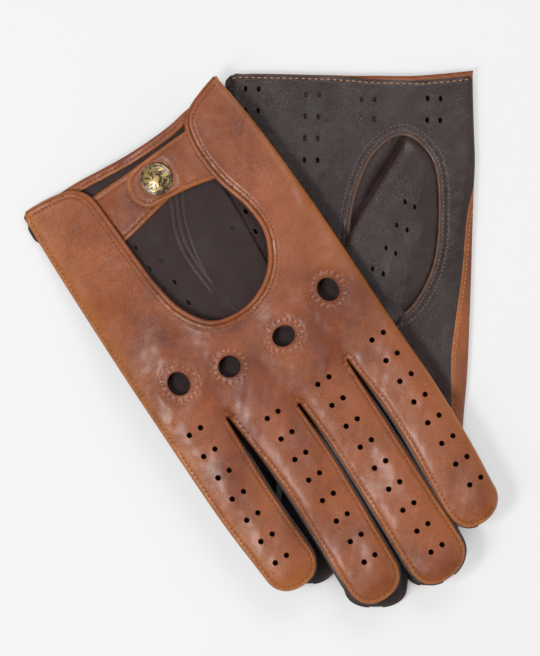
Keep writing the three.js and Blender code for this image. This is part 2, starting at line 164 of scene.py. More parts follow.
THUMB_HOLES = [((-30.7, 60), (-26.2, 57.7)), ((-27.5, 70.5), (-22.7, 68.5)),
               ((-22.5, 81.3), (-18, 79)), ((-17, 91), (-12, 88.7))]

# The right cuff hangs down from the left glove to the floor between these two x places.
DROOP_START = -43.3
DROOP_END = -111.3

# Two joints of each glove whose places in the glove frame are known.
ANCHORS = {
    "left": (("left_thumb_swing", (-24.4, 68)), ("left_index_spread", (-58.5, 140))),
    "right": (("right_thumb_swing", (-24.4, 68)), ("right_middle_bend", (-16.5, 144))),
}
THUMB_JOINT_DEPTH = 5.9         # from the glove's middle to the thumb joint, towards the palm

rng = np.random.default_rng(7)


# ------------------------------------------------------------------ lines and fields
def smooth(t):
    t = np.clip(t, 0, 1)
    return t * t * (3 - 2 * t)


def puff(t):
    """A quarter-round rise from 0 at t = 0 to 1 at t = 1."""
    t = np.clip(t, 0, 1)
    return np.sqrt(1 - (1 - t) ** 2)


def bell(x, middle, width):
    return np.exp(-(((x - middle) / width) ** 2))


def along(pairs, at):
    """Value at `at` on the straight lines through (place, value) pairs."""
    places, values = zip(*pairs)
    return np.interp(at, places, values)


def resample(line, step, closed=False):
    line = np.asarray(line, float)
    if closed:
        line = np.vstack([line, line[:1]])
    gone = np.r_[0, np.cumsum(np.linalg.norm(np.diff(line, axis=0), axis=1))]
    count = max(3, round(gone[-1] / step))
    at = np.linspace(0, gone[-1], count + 1)
    points = np.column_stack([np.interp(at, gone, line[:, k]) for k in range(line.shape[1])])
    return points[:-1] if closed else points


def smooth_line(knots, step=1.2, closed=False):
    """Evenly spaced points on the centripetal Catmull-Rom line through the knots."""
    k = np.asarray(knots, float)
    k = np.vstack([k[-1], k, k[:2]]) if closed else np.vstack([2 * k[0] - k[1], k, 2 * k[-1] - k[-2]])
    out = []
    for p0, p1, p2, p3 in zip(k, k[1:], k[2:], k[3:]):
        t1 = np.linalg.norm(p1 - p0) ** 0.5
        t2 = t1 + np.linalg.norm(p2 - p1) ** 0.5
        t3 = t2 + np.linalg.norm(p3 - p2) ** 0.5
        t = np.linspace(t1, t2, 16, endpoint=False)[:, None]
        a1 = (t1 - t) / t1 * p0 + t / t1 * p1
        a2 = (t2 - t) / (t2 - t1) * p1 + (t - t1) / (t2 - t1) * p2
        a3 = (t3 - t) / (t3 - t2) * p2 + (t - t2) / (t3 - t2) * p3
        b1 = (t2 - t) / t2 * a1 + t / t2 * a2
        b2 = (t3 - t) / (t3 - t1) * a2 + (t - t1) / (t3 - t1) * a3
        out.append((t2 - t) / (t2 - t1) * b1 + (t - t1) / (t2 - t1) * b2)
    if not closed:
        out.append(k[-2:-1])
    return resample(np.vstack(out), step, closed)


def edge_line(pairs, step):
    """A smooth plan line from (y, x) pairs."""
    return smooth_line([(x, y) for y, x in pairs], step)


def tangents(line, closed=False):
    if closed:
        d = np.roll(line, -1, 0) - np.roll(line, 1, 0)
    else:
        d = np.gradient(line, axis=0)
    return d / np.linalg.norm(d, axis=1)[:, None]


def right_of(line, closed=False):
    """Unit plan directions to the right-hand side of a line."""
    t = tangents(line[:, :2], closed)
    return np.column_stack([t[:, 1], -t[:, 0]])


def offset(line, by, closed=False):
    """The line moved to its right-hand side."""
    return line[:, :2] + by * right_of(line, closed)


def distance(points, line, closed=False):
    """Shortest plan distance from each point to the line."""
    a = np.asarray(line, np.float32)[:, :2]
    b = np.roll(a, -1, 0) if closed else a[1:]
    a = a if closed else a[:-1]
    ab = b - a
    long2 = np.maximum((ab ** 2).sum(1), 1e-9)
    out = np.empty(len(points), np.float32)
    for start in range(0, len(points), 3000):
        p = np.asarray(points[start:start + 3000, :2], np.float32)
        ap = p[:, None] - a[None]
        t = np.clip((ap * ab).sum(2) / long2, 0, 1)
        out[start:start + 3000] = np.sqrt((((ap - t[..., None] * ab) ** 2).sum(2)).min(1))
    return out.astype(float)


def inside(points, loop):
    """True for each point inside the closed loop."""
    loop = np.asarray(loop, float)
    x, y = points[:, 0:1], points[:, 1:2]
    ax, ay = loop[:, 0], loop[:, 1]
    bx, by = np.roll(ax, -1), np.roll(ay, -1)
    crosses = (ay > y) != (by > y)
    at = ax + (y - ay) * (bx - ax) / np.where(by == ay, 1e-12, by - ay)
    return (crosses & (x < at)).sum(1) % 2 == 1


def area(loop):
    x, y = np.asarray(loop)[:, 0], np.asarray(loop)[:, 1]
    return 0.5 * np.sum(x * np.roll(y, -1) - np.roll(x, -1) * y)


def circle(at, half, count=12):
    t = np.arange(count) * 2 * np.pi / count
    half = np.broadcast_to(half, 2)
    return np.column_stack([at[0] + half[0] * np.cos(t), at[1] + half[1] * np.sin(t)])


class Waves:
    """Smooth random undulation: many plane waves of about one length, the same every run."""

    def __init__(self, length, stretch=1.0):
        count = 14
        angle = rng.uniform(0, 2 * np.pi, count)
        size = 2 * np.pi / (length * rng.uniform(0.7, 1.5, count))
        self.k = np.column_stack([np.cos(angle) * size, np.sin(angle) * size / stretch])
        self.phase = rng.uniform(0, 2 * np.pi, count)
        self.scale = math.sqrt(2 / count)

    def __call__(self, p):
        return np.cos(p[:, :2] @ self.k.T + self.phase).sum(1) * self.scale


BROAD = Waves(34, stretch=1.6)
MEDIUM = Waves(15, stretch=1.4)
FINE = Waves(6)


# ------------------------------------------------------------------ the gloves' outlines
def blunt_tip(low_knot, high_knot, tip, tip_x=None, bluntness=2 / 2.3):
    """Points round a blunt tip between two (along, across) knots, as (across, along) pairs."""
    (end, low), high = low_knot, high_knot[1]
    middle, half = (low + high) / 2, (high - low) / 2
    lean = 0 if tip_x is None else tip_x - middle
    turn = np.linspace(np.pi, 0, 25)[1:-1]
    c, s = np.cos(turn), np.sin(turn)
    return np.column_stack([middle + half * np.sign(c) * np.abs(c) ** bluntness + lean * s ** 2,
                            end + (tip - end) * s ** bluntness])


def finger_line(f, step=1.2):
    """A finger's edge from its index-side root, round the tip, to its other root."""
    tip = blunt_tip(f["low"][-1], f["high"][-1], f["tip"], f["tip_x"])
    up, down = edge_line(f["low"], step), edge_line(f["high"][::-1], step)
    return resample(np.vstack([up, tip, down]), step)


def tip_index(line):
    return int(np.argmax(line[:, 1]))


def edge_lines(hand, lines):
    """The fold along the index side, the sewn finger gaps, and the little-finger side seam."""
    index, pinky = lines["index"], lines["pinky"]
    hand_fold = edge_line(INDEX_EDGE[hand], 1.5)
    fold = np.vstack([hand_fold, index[1:tip_index(index)]])
    gaps = [index[tip_index(index):], [CROTCHES["index"]], lines["middle"], [CROTCHES["middle"]],
            lines["ring"], [CROTCHES["ring"]], pinky[:tip_index(pinky) + 1]]
    side = np.vstack([pinky[tip_index(pinky):], edge_line(PINKY_EDGE[hand][::-1], 1.5)])
    return fold, np.vstack(gaps), side


OPENING_LINE = offset(smooth_line(OPENING, 1.0), 0.9)
KEYHOLE_LINE = smooth_line(KEYHOLE, 1.2, closed=True)


def thumb_frame(p):
    """Plan points as (length along the thumb, distance to its little-finger side)."""
    d = p[:, :2] - THUMB_AT
    s, c = math.sin(THUMB_LEAN), math.cos(THUMB_LEAN)
    return d[:, 0] * s + d[:, 1] * c, d[:, 0] * c - d[:, 1] * s


def from_thumb(along_it, side):
    s, c = math.sin(THUMB_LEAN), math.cos(THUMB_LEAN)
    return np.column_stack([THUMB_AT[0] + along_it * s + side * c,
                            THUMB_AT[1] + along_it * c - side * s])


# ------------------------------------------------------------------ gloves in the frame
class Glove:
    """One glove's place in the frame, found from two of its joints."""

    def __init__(self, hand):
        self.hand = hand
        self.flip = -1 if hand == "left" else 1
        self.fingers = {n: {**f, **(LEFT_FINGERS[n] if hand == "left" else {})}
                        for n, f in FINGERS.items()}
        self.lines = {n: finger_line(f) for n, f in self.fingers.items()}
        self.fold, self.gap, self.side = edge_lines(hand, self.lines)
        joints = {j["name"]: j for j in frame["joints"]}
        (first, a), (second, b) = ANCHORS[hand]
        pa = np.array(joints[first]["pos_m"]) / MM
        pb = np.array(joints[second]["pos_m"]) / MM
        local = np.subtract(b, a)
        world = (pb - pa)[:2]
        self.turn = math.atan2(world[1], world[0]) - math.atan2(local[1], local[0])
        self.c, self.s = math.cos(self.turn), math.sin(self.turn)
        self.at = pa[:2] - np.array([self.c * a[0] - self.s * a[1], self.s * a[0] + self.c * a[1]])
        self.height = pa[2] + self.flip * THUMB_JOINT_DEPTH
        self.droop = self.height + PALM_BOTTOM if hand == "right" else 0.0
        self.crown = HAND_TOP + (1.0 if hand == "right" else 0.0)

    def to_frame(self, p):
        """Glove-frame millimetres to frame metres."""
        x = self.at[0] + self.c * p[:, 0] - self.s * p[:, 1]
        y = self.at[1] + self.s * p[:, 0] + self.c * p[:, 1]
        fall = self.droop * smooth((DROOP_START - x) / (DROOP_START - DROOP_END))
        return np.column_stack([x, y, self.height + self.flip * p[:, 2] - fall]) * MM

    def name(self, piece):
        return f"{self.hand}_{piece}"

    def dress(self, made, node):
        """The piece takes the place of a CAD node, if one is given."""
        if node:
            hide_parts(self.name(node))
        return made

    # -------------------------------------------------------------- leather surfaces
    def face(self, p, side):
        """Height of the outer leather at plan points: side 1 is the back, -1 the palm."""
        y = p[:, 1]
        flat = smooth((y - CUFF_FLAT_END) / (HAND_FULL_START - CUFF_FLAT_END))
        top = CUFF_TOP + (self.crown - CUFF_TOP) * flat
        middle = (CUFF_TOP + (HAND_TOP - CUFF_TOP) * flat + PALM_BOTTOM) / 2
        d_fold = distance(p, self.fold)
        d_gap = distance(p, self.gap)
        d_side = distance(p, self.side)
        d_sewn = np.minimum(d_gap, d_side)
        d = np.minimum(d_fold, d_sewn)
        tip = np.interp(p[:, 0], [-42, -14, 15, 43], [self.fingers[n]["tip"] for n in FINGER_ORDER])
        apart = np.clip((np.minimum(d_fold, d_side) - d_gap) / 6 + 0.5, 0, 1)
        apart = apart * np.clip((tip - 4 - y) / 12, 0, 1)
        edge = middle + side * (0.12 + 0.9 * apart)
        goal = top if side > 0 else np.full(len(p), PALM_BOTTOM)
        z = edge + (goal - edge) * puff(d / (4.5 + 6.5 * flat))
        z -= side * 0.28 * bell(d_sewn, SEAM_INSET, 0.5)
        z += side * 0.14 * bell(d_sewn, 0.6, 0.6)
        calm = puff(d / 7)
        room = 0.55 if (side > 0) == (self.hand == "right") else 0.25
        z += side * calm * (room * BROAD(p) * flat + 0.1 * MEDIUM(p) + 0.03 * FINE(p))
        if side > 0:
            z += self.back_relief(p)
        if self.hand == "left" and side > 0:
            z = np.minimum(z, HAND_TOP)
        return z

    def back_relief(self, p):
        z = np.zeros(len(p))
        for spec in KNUCKLES.values():
            at, half = np.array(spec["at"]), np.array(spec["half"])
            v = p[:, :2] - at
            angle = np.arctan2(v[:, 1] / half[1], v[:, 0] / half[0])
            beyond = np.linalg.norm(v, axis=1) - np.linalg.norm(
                np.column_stack([np.cos(angle), np.sin(angle)]) * half, axis=1)
            pucker = np.cos(WHIP_COUNT * angle + 0.6 * np.sin(3 * angle))
            z -= (0.12 - 0.14 * pucker) * bell(beyond, 2.3, 0.9)
            z -= 0.12 * bell(beyond, 3.9, 0.6) * (0.6 + 0.4 * pucker)
            z += 0.12 * bell(beyond, 6.5, 2.2)
        for name, (x, y) in CROTCHES.items():
            below = np.clip((y - p[:, 1]) / 16, 0, 1)
            valley = bell(p[:, 0], x, 2.2 + 3 * below) * (1 - below) * (p[:, 1] < y + 1)
            z -= 0.9 * valley
        d = distance(p, OPENING_LINE)
        z -= 0.5 * bell(d, 0, 0.8)
        z -= 0.22 * bell(d, 1.9, 0.45)
        z += 0.14 * bell(d, 1.1, 0.4) + 0.1 * bell(d, 3.1, 0.9)
        return z


def back(glove):
    return lambda p: glove.face(p, 1)


def palm(glove):
    return lambda p: glove.face(p, -1)


# ------------------------------------------------------------------ mesh making
def new_object(name, vertices, faces, material, normals=None):
    mesh = bpy.data.meshes.new(name)
    mesh.from_pydata([tuple(v) for v in vertices], [], faces)
    mesh.materials.append(material)
    mesh.polygons.foreach_set("use_smooth", [True] * len(mesh.polygons))
    mesh.validate()
    mesh.update()
    if normals is not None:
        mesh.normals_split_custom_set_from_vertices([tuple(n) for n in normals])
    made = bpy.data.objects.new(name, mesh)
    bpy.context.scene.collection.objects.link(made)
    return made


def float_attribute(made, name, values):
    layer = made.data.attributes.new(name, "FLOAT", "POINT")
    layer.data.foreach_set("value", np.asarray(values, np.float32))


def close_to(points, hole):
    """True for each point that could be inside the hole."""
    return np.linalg.norm(points - hole.mean(0), axis=1) < np.ptp(hole, axis=0).max() + 2


def triangulate(outline, holes, spacing, extra=()):
    """Plan points, triangles, and the point numbers of each boundary loop."""
    loops = [outline if area(outline) > 0 else outline[::-1]]
    loops += [h if area(h) < 0 else h[::-1] for h in holes]
    low, high = outline.min(0), outline.max(0)
    grid = [np.zeros((0, 2))]
    for k, y in enumerate(np.arange(low[1], high[1], spacing * 0.87)):
        x = np.arange(low[0] + (k % 2) * spacing / 2, high[0], spacing)
        grid.append(np.column_stack([x, np.full(len(x), y)]))
    grid = np.vstack(grid + [e for e in extra if len(e)])
    grid = grid[inside(grid, loops[0])]
    grid = grid[distance(grid, loops[0], True) > spacing * 0.45]
    for hole in loops[1:]:
        near = close_to(grid, hole)
        clear = ~inside(grid[near], hole) & (distance(grid[near], hole, True) >= spacing * 0.4)
        near[near] = ~clear
        grid = grid[~near]
    points = np.vstack(loops + [grid])
    edges, start = [], 0
    for loop in loops:
        n = len(loop)
        edges += [(start + k, start + (k + 1) % n) for k in range(n)]
        start += n
    out = geometry.delaunay_2d_cdt([Vector(p) for p in points], edges, [], 0, 1e-5, True)
    xy = np.array([tuple(v) for v in out[0]])
    triangles = np.array([f for f in out[2] if len(f) == 3])
    renumber = {}
    for new, olds in enumerate(out[3]):
        for old in olds:
            renumber[old] = new
    centre = xy[triangles].mean(1)
    keep = inside(centre, loops[0])
    for hole in loops[1:]:
        near = close_to(centre, hole)
        keep[near] &= ~inside(centre[near], hole)
    triangles = triangles[keep]
    rings, start = [], 0
    for loop in loops:
        rings.append([renumber[start + k] for k in range(len(loop))])
        start += len(loop)
    used = np.zeros(len(xy), bool)
    used[triangles.ravel()] = True
    number = np.cumsum(used) - 1
    rings = [[int(number[i]) for i in ring if used[i]] for ring in rings]
    return xy[used], number[triangles], rings


def facing(place, glove, xy, way=np.ones((1, 2))):
    """Outer points in the frame, and their unit normals on the +z side of the pattern.

    way holds the signs of the x and y steps, so that at an edge they go into the leather."""
    step = 0.2
    here = glove.to_frame(place(xy))
    ahead = glove.to_frame(place(xy + way * [step, 0])) - here
    across = glove.to_frame(place(xy + way * [0, step])) - here
    n = np.cross(ahead, across) * way.prod(1)[:, None]
    return here, n / np.linalg.norm(n, axis=1)[:, None]


def sheet(piece, glove, outline, holes, height, side, material, wear=None, spacing=GRID,
          thickness=LEATHER, extra=(), under=None, node=None):
    """A leather panel with real thickness and a rounded cut edge.

    height(points) gives the outer face. `under`, if given, gives the inner face instead of a
    constant thickness. `node` is the CAD part whose place the panel takes."""
    xy, triangles, rings = triangulate(np.asarray(outline, float), [np.asarray(h) for h in holes],
                                       spacing, extra)

    def place(p):
        return np.column_stack([p[:, :2], height(p)])

    way = np.ones(xy.shape)
    for ring in rings:
        way[ring] = np.where(offset(xy[ring], 1, True) > xy[ring], -1, 1)
    outer, normal = facing(place, glove, xy, way)
    outward = side * glove.flip
    normal = normal * outward
    if under is None:
        inner = outer - normal * thickness * MM
        inner_normal = -normal
    else:
        inner, inner_normal = facing(lambda p: np.column_stack([p[:, :2], under(p)]), glove, xy, way)
        inner_normal = -inner_normal * outward
    count = len(xy)
    middle, middle_normal, faces, ring_start = [], [], [], 2 * count
    for ring in rings:
        line = xy[ring]
        away = offset(line, 1, True) - line
        spot = (outer[ring] + inner[ring]) / 2
        tip = glove.to_frame(np.column_stack([line + away, np.zeros(len(line))]))
        base = glove.to_frame(np.column_stack([line, np.zeros(len(line))]))
        push = tip - base
        push /= np.linalg.norm(push, axis=1)[:, None]
        half = np.linalg.norm(outer[ring] - inner[ring], axis=1)[:, None] / 2
        middle.append(spot + push * half * 0.55)
        middle_normal.append(push)
        n = len(ring)
        for k in range(n):
            a, b = ring[k], ring[(k + 1) % n]
            ma, mb = ring_start + k, ring_start + (k + 1) % n
            faces += [(a, ma, mb, b), (ma, a + count, b + count, mb)]
        ring_start += n
    faces += [tuple(t) for t in triangles] + [tuple(t[::-1] + count) for t in triangles]
    if outward < 0:
        faces = [f[::-1] for f in faces]
    vertices = np.vstack([outer, inner] + middle)
    normals = np.vstack([normal, inner_normal] + middle_normal)
    made = glove.dress(new_object(glove.name(piece), vertices, faces, material, normals), node)
    rim = len(vertices) - 2 * count
    edge = wear(xy) if wear is not None else np.zeros(count)
    float_attribute(made, "wear", np.r_[edge, np.zeros(count), np.full(rim, 0.3)])
    float_attribute(made, "flesh", np.r_[np.zeros(count), np.ones(count), np.zeros(rim)])
    return made


def loft(piece, glove, rings, material, closed=False, turned=False, wear=0.0, flesh=0.0, node=None):
    """A tube through equal rings of glove-frame points, rows x corners x 3."""
    rows, ring = rings.shape[:2]
    faces = []
    for i in range(rows if closed else rows - 1):
        j = (i + 1) % rows
        for k in range(ring):
            m = (k + 1) % ring
            faces.append((i * ring + k, j * ring + k, j * ring + m, i * ring + m))
    if not closed:
        faces += [tuple(range(ring)), tuple((rows - 1) * ring + k for k in reversed(range(ring)))]
    if turned != (glove.flip < 0):
        faces = [f[::-1] for f in faces]
    flat = rings.reshape(-1, 3)
    made = new_object(glove.name(piece), glove.to_frame(flat), faces, material)
    float_attribute(made, "wear", np.full(len(flat), wear))
    float_attribute(made, "flesh", np.full(len(flat), flesh))
    return glove.dress(made, node)


def sweep(piece, glove, line, profile, height, material, closed=False, taper=0.0, scale=1.0,
          **finish):
    """A cord or band along a plan line. The profile is a closed loop of (right, up) offsets."""
    right, z = right_of(line, closed), height(line)
    ends = np.ones(len(line))
    if taper:
        gone = np.r_[0, np.cumsum(np.linalg.norm(np.diff(line, axis=0), axis=1))]
        ends = puff(np.minimum(gone, gone[-1] - gone) / taper) * 0.85 + 0.15
    ends = ends * scale
    rings = np.zeros((len(line), len(profile), 3))
    for k, (r, u) in enumerate(profile):
        rings[:, k, :2] = line + right * (r * ends)[:, None]
        rings[:, k, 2] = z + u * ends
    return loft(piece, glove, rings, material, closed, area(profile) < 0, **finish)


def half_round(width, up, down, count=9):
    """A cord profile, `width` wide from 0 to the right, crowned on top."""
    t = np.linspace(np.pi, 0, count)
    top = np.column_stack([width / 2 + width / 2 * np.cos(t), up * np.sin(t) ** 0.8])
    t = np.linspace(0, -np.pi, max(3, count // 2 + 1))[1:-1]
    low = np.column_stack([width / 2 + width / 2 * np.cos(t), down * np.sin(t)])
    return np.vstack([top, low])


# One stitch: rings of six points along a short thread, in units of its half length and radius.
STITCH_RINGS = [(-0.85, 0.62), (-0.4, 1.0), (0.4, 1.0), (0.85, 0.62)]
STITCH_SIDES = 6


def stitch_shape():
    points = [(-1.0, 0.0, 0.0)]
    for x, r in STITCH_RINGS:
        for k in range(STITCH_SIDES):
            a = 2 * math.pi * k / STITCH_SIDES
            points.append((x, r * math.cos(a), r * math.sin(a)))
    points.append((1.0, 0.0, 0.0))
    last, n = len(points) - 1, STITCH_SIDES
    faces = []
    for k in range(n):
        m = (k + 1) % n
        faces.append((0, 1 + m, 1 + k))
        for ring in range(len(STITCH_RINGS) - 1):
            a, b = 1 + ring * n, 1 + (ring + 1) * n
            faces.append((a + k, a + m, b + m, b + k))
        faces.append((last, last - n + k, last - n + m))
    return np.array(points), faces


STITCH_POINTS, STITCH_FACES = stitch_shape()


def lay_stitches(piece, g, rows, height, side, material, half, radius, lift, sunk=0.22):
    """Stitches on the outer face as one object. rows holds pairs of plan points and directions."""
    here, way = (np.vstack(arrays) for arrays in zip(*rows))

    def place(p):
        return np.column_stack([p[:, :2], height(p) + side * lift])

    centres, normals = facing(place, g, here)
    heads = g.to_frame(place(here + way * 0.3)) - g.to_frame(place(here - way * 0.3))
    heads /= np.linalg.norm(heads, axis=1)[:, None]
    x, y, z = STITCH_POINTS.T * MM
    dip = z * radius - sunk * STITCH_POINTS[:, 0] * x
    vertices, faces = [], []
    for centre, head, up in zip(centres, heads, normals * side * g.flip):
        up = up - head * (up @ head)
        up /= np.linalg.norm(up)
        across = np.cross(up, head)
        base = len(vertices) * len(STITCH_POINTS)
        faces += [tuple(base + k for k in f) for f in STITCH_FACES]
        vertices.append(centre + np.outer(x * half, head) + np.outer(y * radius, across)
                        + np.outer(dip, up))
    return new_object(g.name(piece), np.vstack(vertices), faces, material)


def sew(piece, g, lines, height, side, material, pitch=STITCH_PITCH, radius=0.32, lift=0.02,
        share=0.8):
    """Running stitches along plan lines; each covers `share` of the pitch."""
    rows = []
    for line in lines:
        spots = resample(line, pitch)
        rows.append(((spots[1:] + spots[:-1]) / 2, spots[1:] - spots[:-1]))
    return lay_stitches(piece, g, rows, height, side, material, pitch * share / 2, radius, lift)


# ------------------------------------------------------------------ materials
class Shader:
    """A small helper that builds one node material."""

    def __init__(self, name):
        self.material = bpy.data.materials.new(name)
        self.material.use_nodes = True
        self.tree = self.material.node_tree
        self.tree.nodes.clear()
        self.out = self.tree.nodes.new("ShaderNodeOutputMaterial")
        self.place = self.add("ShaderNodeTexCoord").outputs["Object"]

    def add(self, kind, settings=None, **inputs):
        made = self.tree.nodes.new(kind)
        for key, value in (settings or {}).items():
            setattr(made, key, value)
        for key, value in inputs.items():
            self.put(made.inputs[key.replace("_", " ")], value)
        return made

    def put(self, socket, value):
        if isinstance(value, bpy.types.NodeSocket):
            self.tree.links.new(value, socket)
        else:
            socket.default_value = value

    def noise(self, scale, detail=3.0, roughness=0.55, distortion=0.0, at=None):
        made = self.add("ShaderNodeTexNoise", Vector=at or self.place, Scale=scale, Detail=detail,
                        Roughness=roughness, Distortion=distortion)
        return made.outputs["Fac"]

    def span(self, value, low, high, to_low=0.0, to_high=1.0):
        made = self.add("ShaderNodeMapRange", Value=value, From_Min=low, From_Max=high,
                        To_Min=to_low, To_Max=to_high)
        return made.outputs["Result"]

    def math(self, operation, a, b=0.0):
        made = self.tree.nodes.new("ShaderNodeMath")
        made.operation = operation
        self.put(made.inputs[0], a)
        self.put(made.inputs[1], b)
        return made.outputs[0]

    def mix(self, factor, a, b):
        made = self.tree.nodes.new("ShaderNodeMix")
        made.data_type = "RGBA"
        self.put(made.inputs["Factor"], factor)
        for socket, value in (("A", a), ("B", b)):
            target = next(i for i in made.inputs if i.name == socket and i.type == "RGBA")
            self.put(target, value)
        return next(o for o in made.outputs if o.type == "RGBA")

    def attribute(self, name):
        return self.add("ShaderNodeAttribute", {"attribute_name": name}).outputs["Fac"]

    def bump(self, height, distance, strength=1.0, below=None):
        made = self.add("ShaderNodeBump", Height=height, Distance=distance, Strength=strength)
        if below is not None:
            self.put(made.inputs["Normal"], below)
        return made.outputs["Normal"]

    def finish(self, **inputs):
        surface = self.tree.nodes.new("ShaderNodeBsdfPrincipled")
        for key, value in inputs.items():
            self.put(surface.inputs[key.replace("_", " ")], value)
        self.tree.links.new(surface.outputs[0], self.out.inputs[0])
        return self.material


def srgb(r, g, b):
    """A colour given as 0 to 255 screen values."""
    def linear(v):
        v /= 255
        return v / 12.92 if v <= 0.04045 else ((v + 0.055) / 1.055) ** 2.4
    return (linear(r), linear(g), linear(b), 1.0)


def leather(name, deep, middle, light, worn, flesh, roughness, coat, grain, pebble):
    """Dyed glove leather: blotchy colour, pale worn edges, pores and fine creases."""
    m = Shader(name)
    blotch = m.span(m.noise(55, 4, 0.6, 0.6), 0.36, 0.66)
    cloud = m.span(m.noise(19, 3, 0.5, 0.4), 0.42, 0.66)
    colour = m.mix(blotch, deep, middle)
    colour = m.mix(m.math("MULTIPLY", cloud, 0.55), colour, light)
    speck = m.span(m.noise(900, 4, 0.7), 0.35, 0.65, 0.0, 0.35)
    colour = m.mix(speck, colour, deep)
    patch = m.span(m.noise(240, 4, 0.65), 0.3, 0.62)
    wear = m.math("MULTIPLY", m.attribute("wear"), m.span(patch, 0, 1, 0.55, 1.0))
    colour = m.mix(m.math("MULTIPLY", wear, 0.8), colour, worn)
    inner = m.attribute("flesh")
    fibre = m.span(m.noise(700, 6, 0.75), 0.3, 0.7)
    suede = m.mix(fibre, flesh, tuple(min(1, 1.35 * v) for v in flesh[:3]) + (1.0,))
    colour = m.mix(inner, colour, suede)
    cells = m.add("ShaderNodeTexVoronoi", {"feature": "DISTANCE_TO_EDGE"}, Vector=m.place,
                  Scale=grain)
    pores = m.span(cells.outputs["Distance"], 0.0, 0.35)
    fine = m.noise(grain * 1.9, 5, 0.7)
    crease = m.math("ABSOLUTE", m.math("SUBTRACT", m.noise(130, 5, 0.6, 1.2), 0.5))
    crease = m.span(crease, 0.0, 0.05)
    height = m.math("ADD", m.math("MULTIPLY", pores, 0.45), m.math("MULTIPLY", fine, 0.5))
    wrinkled = m.span(m.noise(45, 3, 0.6), 0.38, 0.62, 0.25, 1.0)
    normal = m.bump(m.math("MULTIPLY", height, wrinkled), 0.00022 * pebble, 0.9)
    normal = m.bump(m.math("MULTIPLY", crease, wrinkled), 0.00014, 0.6, normal)
    soft = m.noise(36, 1, 0.4, 0.4)
    normal = m.bump(soft, 0.002 / pebble ** 2, 0.5, normal)
    rough = m.span(m.noise(80, 3, 0.6), 0.3, 0.7, roughness - 0.07, roughness + 0.1)
    rough = m.math("ADD", rough, m.math("MULTIPLY", inner, 0.4))
    sheen = m.math("MULTIPLY", inner, 0.3)
    coated = m.math("MULTIPLY", m.math("SUBTRACT", 1.0, inner), coat)
    return m.finish(Base_Color=colour, Roughness=rough, Normal=normal, Coat_Weight=coated,
                    Coat_Roughness=0.24, Specular_IOR_Level=0.36, Sheen_Weight=sheen,
                    Sheen_Roughness=0.5)


def antique_brass():
    """Domed brass with a dark patina that stays in patches and recesses."""
    m = Shader("antique_brass")
    patch = m.span(m.noise(330, 3, 0.55, 2.2), 0.47, 0.53)
    keep = m.math("MULTIPLY", patch, m.math("SUBTRACT", 1.0, m.attribute("recess")))
    gold = m.mix(m.noise(1500, 3), srgb(182, 152, 88), srgb(146, 116, 64))
    colour = m.mix(keep, srgb(52, 42, 34), gold)
    return m.finish(Base_Color=colour, Metallic=0.55, Roughness=0.38, Coat_Weight=0.7,
                    Coat_Roughness=0.16)


def dull_brass():
    """The hidden snap parts: dark brass, blotchy in tone."""
    m = Shader("dull_brass")
    stain = m.span(m.noise(420, 5, 0.6), 0.35, 0.7)
    colour = m.mix(stain, srgb(104, 86, 54), srgb(62, 50, 34))
    return m.finish(Base_Color=colour, Metallic=0.7, Roughness=m.span(stain, 0, 1, 0.35, 0.6),
                    Normal=m.bump(m.noise(2600, 2), 0.00002))


def thread(name, colour, shade):
    """Waxed sewing thread with a twist."""
    m = Shader(name)
    twist = m.add("ShaderNodeTexWave", {"bands_direction": "DIAGONAL"}, Vector=m.place,
                  Scale=1400.0, Distortion=2.0)
    tone = m.mix(m.noise(500, 3), colour, shade)
    return m.finish(Base_Color=tone, Roughness=0.55, Normal=m.bump(twist.outputs["Fac"], 0.00008),
                    Specular_IOR_Level=0.4)


TAN = leather("tan_leather", srgb(98, 44, 19), srgb(137, 69, 33), srgb(165, 93, 47),
              srgb(196, 122, 56), srgb(58, 40, 33), 0.40, 0.17, 1150, 1.0)
# The dark leather's flesh colour is part its own suede tone and part painted shade: it is darker than
# the suede, so the glove's inside, seen through holes and the opening, reads dark.
DARK = leather("dark_leather", srgb(36, 22, 21), srgb(49, 34, 32), srgb(62, 47, 45),
               srgb(100, 70, 56), srgb(41, 26, 25), 0.39, 0.2, 1050, 1.4)
BRASS = antique_brass()
DULL_BRASS = dull_brass()
TAN_THREAD = thread("tan_thread", srgb(196, 136, 84), srgb(150, 92, 54))
BROWN_THREAD = thread("brown_thread", srgb(140, 82, 50), srgb(90, 48, 30))
DARK_THREAD = thread("dark_thread", srgb(134, 110, 102), srgb(92, 72, 66))
PALE_THREAD = thread("pale_thread", srgb(206, 152, 118), srgb(150, 94, 64))
GOLD_THREAD = thread("gold_thread", srgb(205, 150, 96), srgb(168, 108, 60))


# ------------------------------------------------------------------ pieces of one glove
def base_line(g, name):
    """The line where a finger joins the hand, from its index side."""
    f = g.fingers[name]
    return resample(np.array([(f["low"][0][1], f["base"]), (f["high"][0][1], f["base"])], float), GRID)


def hand_top(g):
    """The hand's finger end, from the little-finger side to the index side."""
    parts = []
    for name in reversed(FINGER_ORDER):
        parts.append(base_line(g, name)[::-1])
        if name in ("ring", "middle", "index"):
            parts.insert(-1, resample_gap(name))
    return np.vstack(parts)


def resample_gap(name):
    """From the next finger's root, down into the crotch, to this finger's root."""
    after = FINGER_ORDER[FINGER_ORDER.index(name) + 1]
    a = (FINGERS[after]["low"][0][1], FINGERS[after]["base"])
    b = (FINGERS[name]["high"][0][1], FINGERS[name]["base"])
    line = resample(np.array([a, CROTCHES[name], b], float), 0.9)
    return line[1:-1]


def pair_holes(rows, radius=HOLE_RADIUS):
    return [circle((x, y), radius, 10) for a, b, y in rows for x in (a, b)]


def fine_rings():
    """Extra mesh points round the knuckle holes and the opening, where the leather is worked."""
    rings = [offset(OPENING_LINE, -by) for by in (0.6, 1.2, 1.9, 2.6, 3.3, 4.1)]
    for spec in KNUCKLES.values():
        for out in np.arange(0.8, 5.4, 0.6):
            rings.append(circle(spec["at"], np.array(spec["half"]) + out, 68))
    return rings


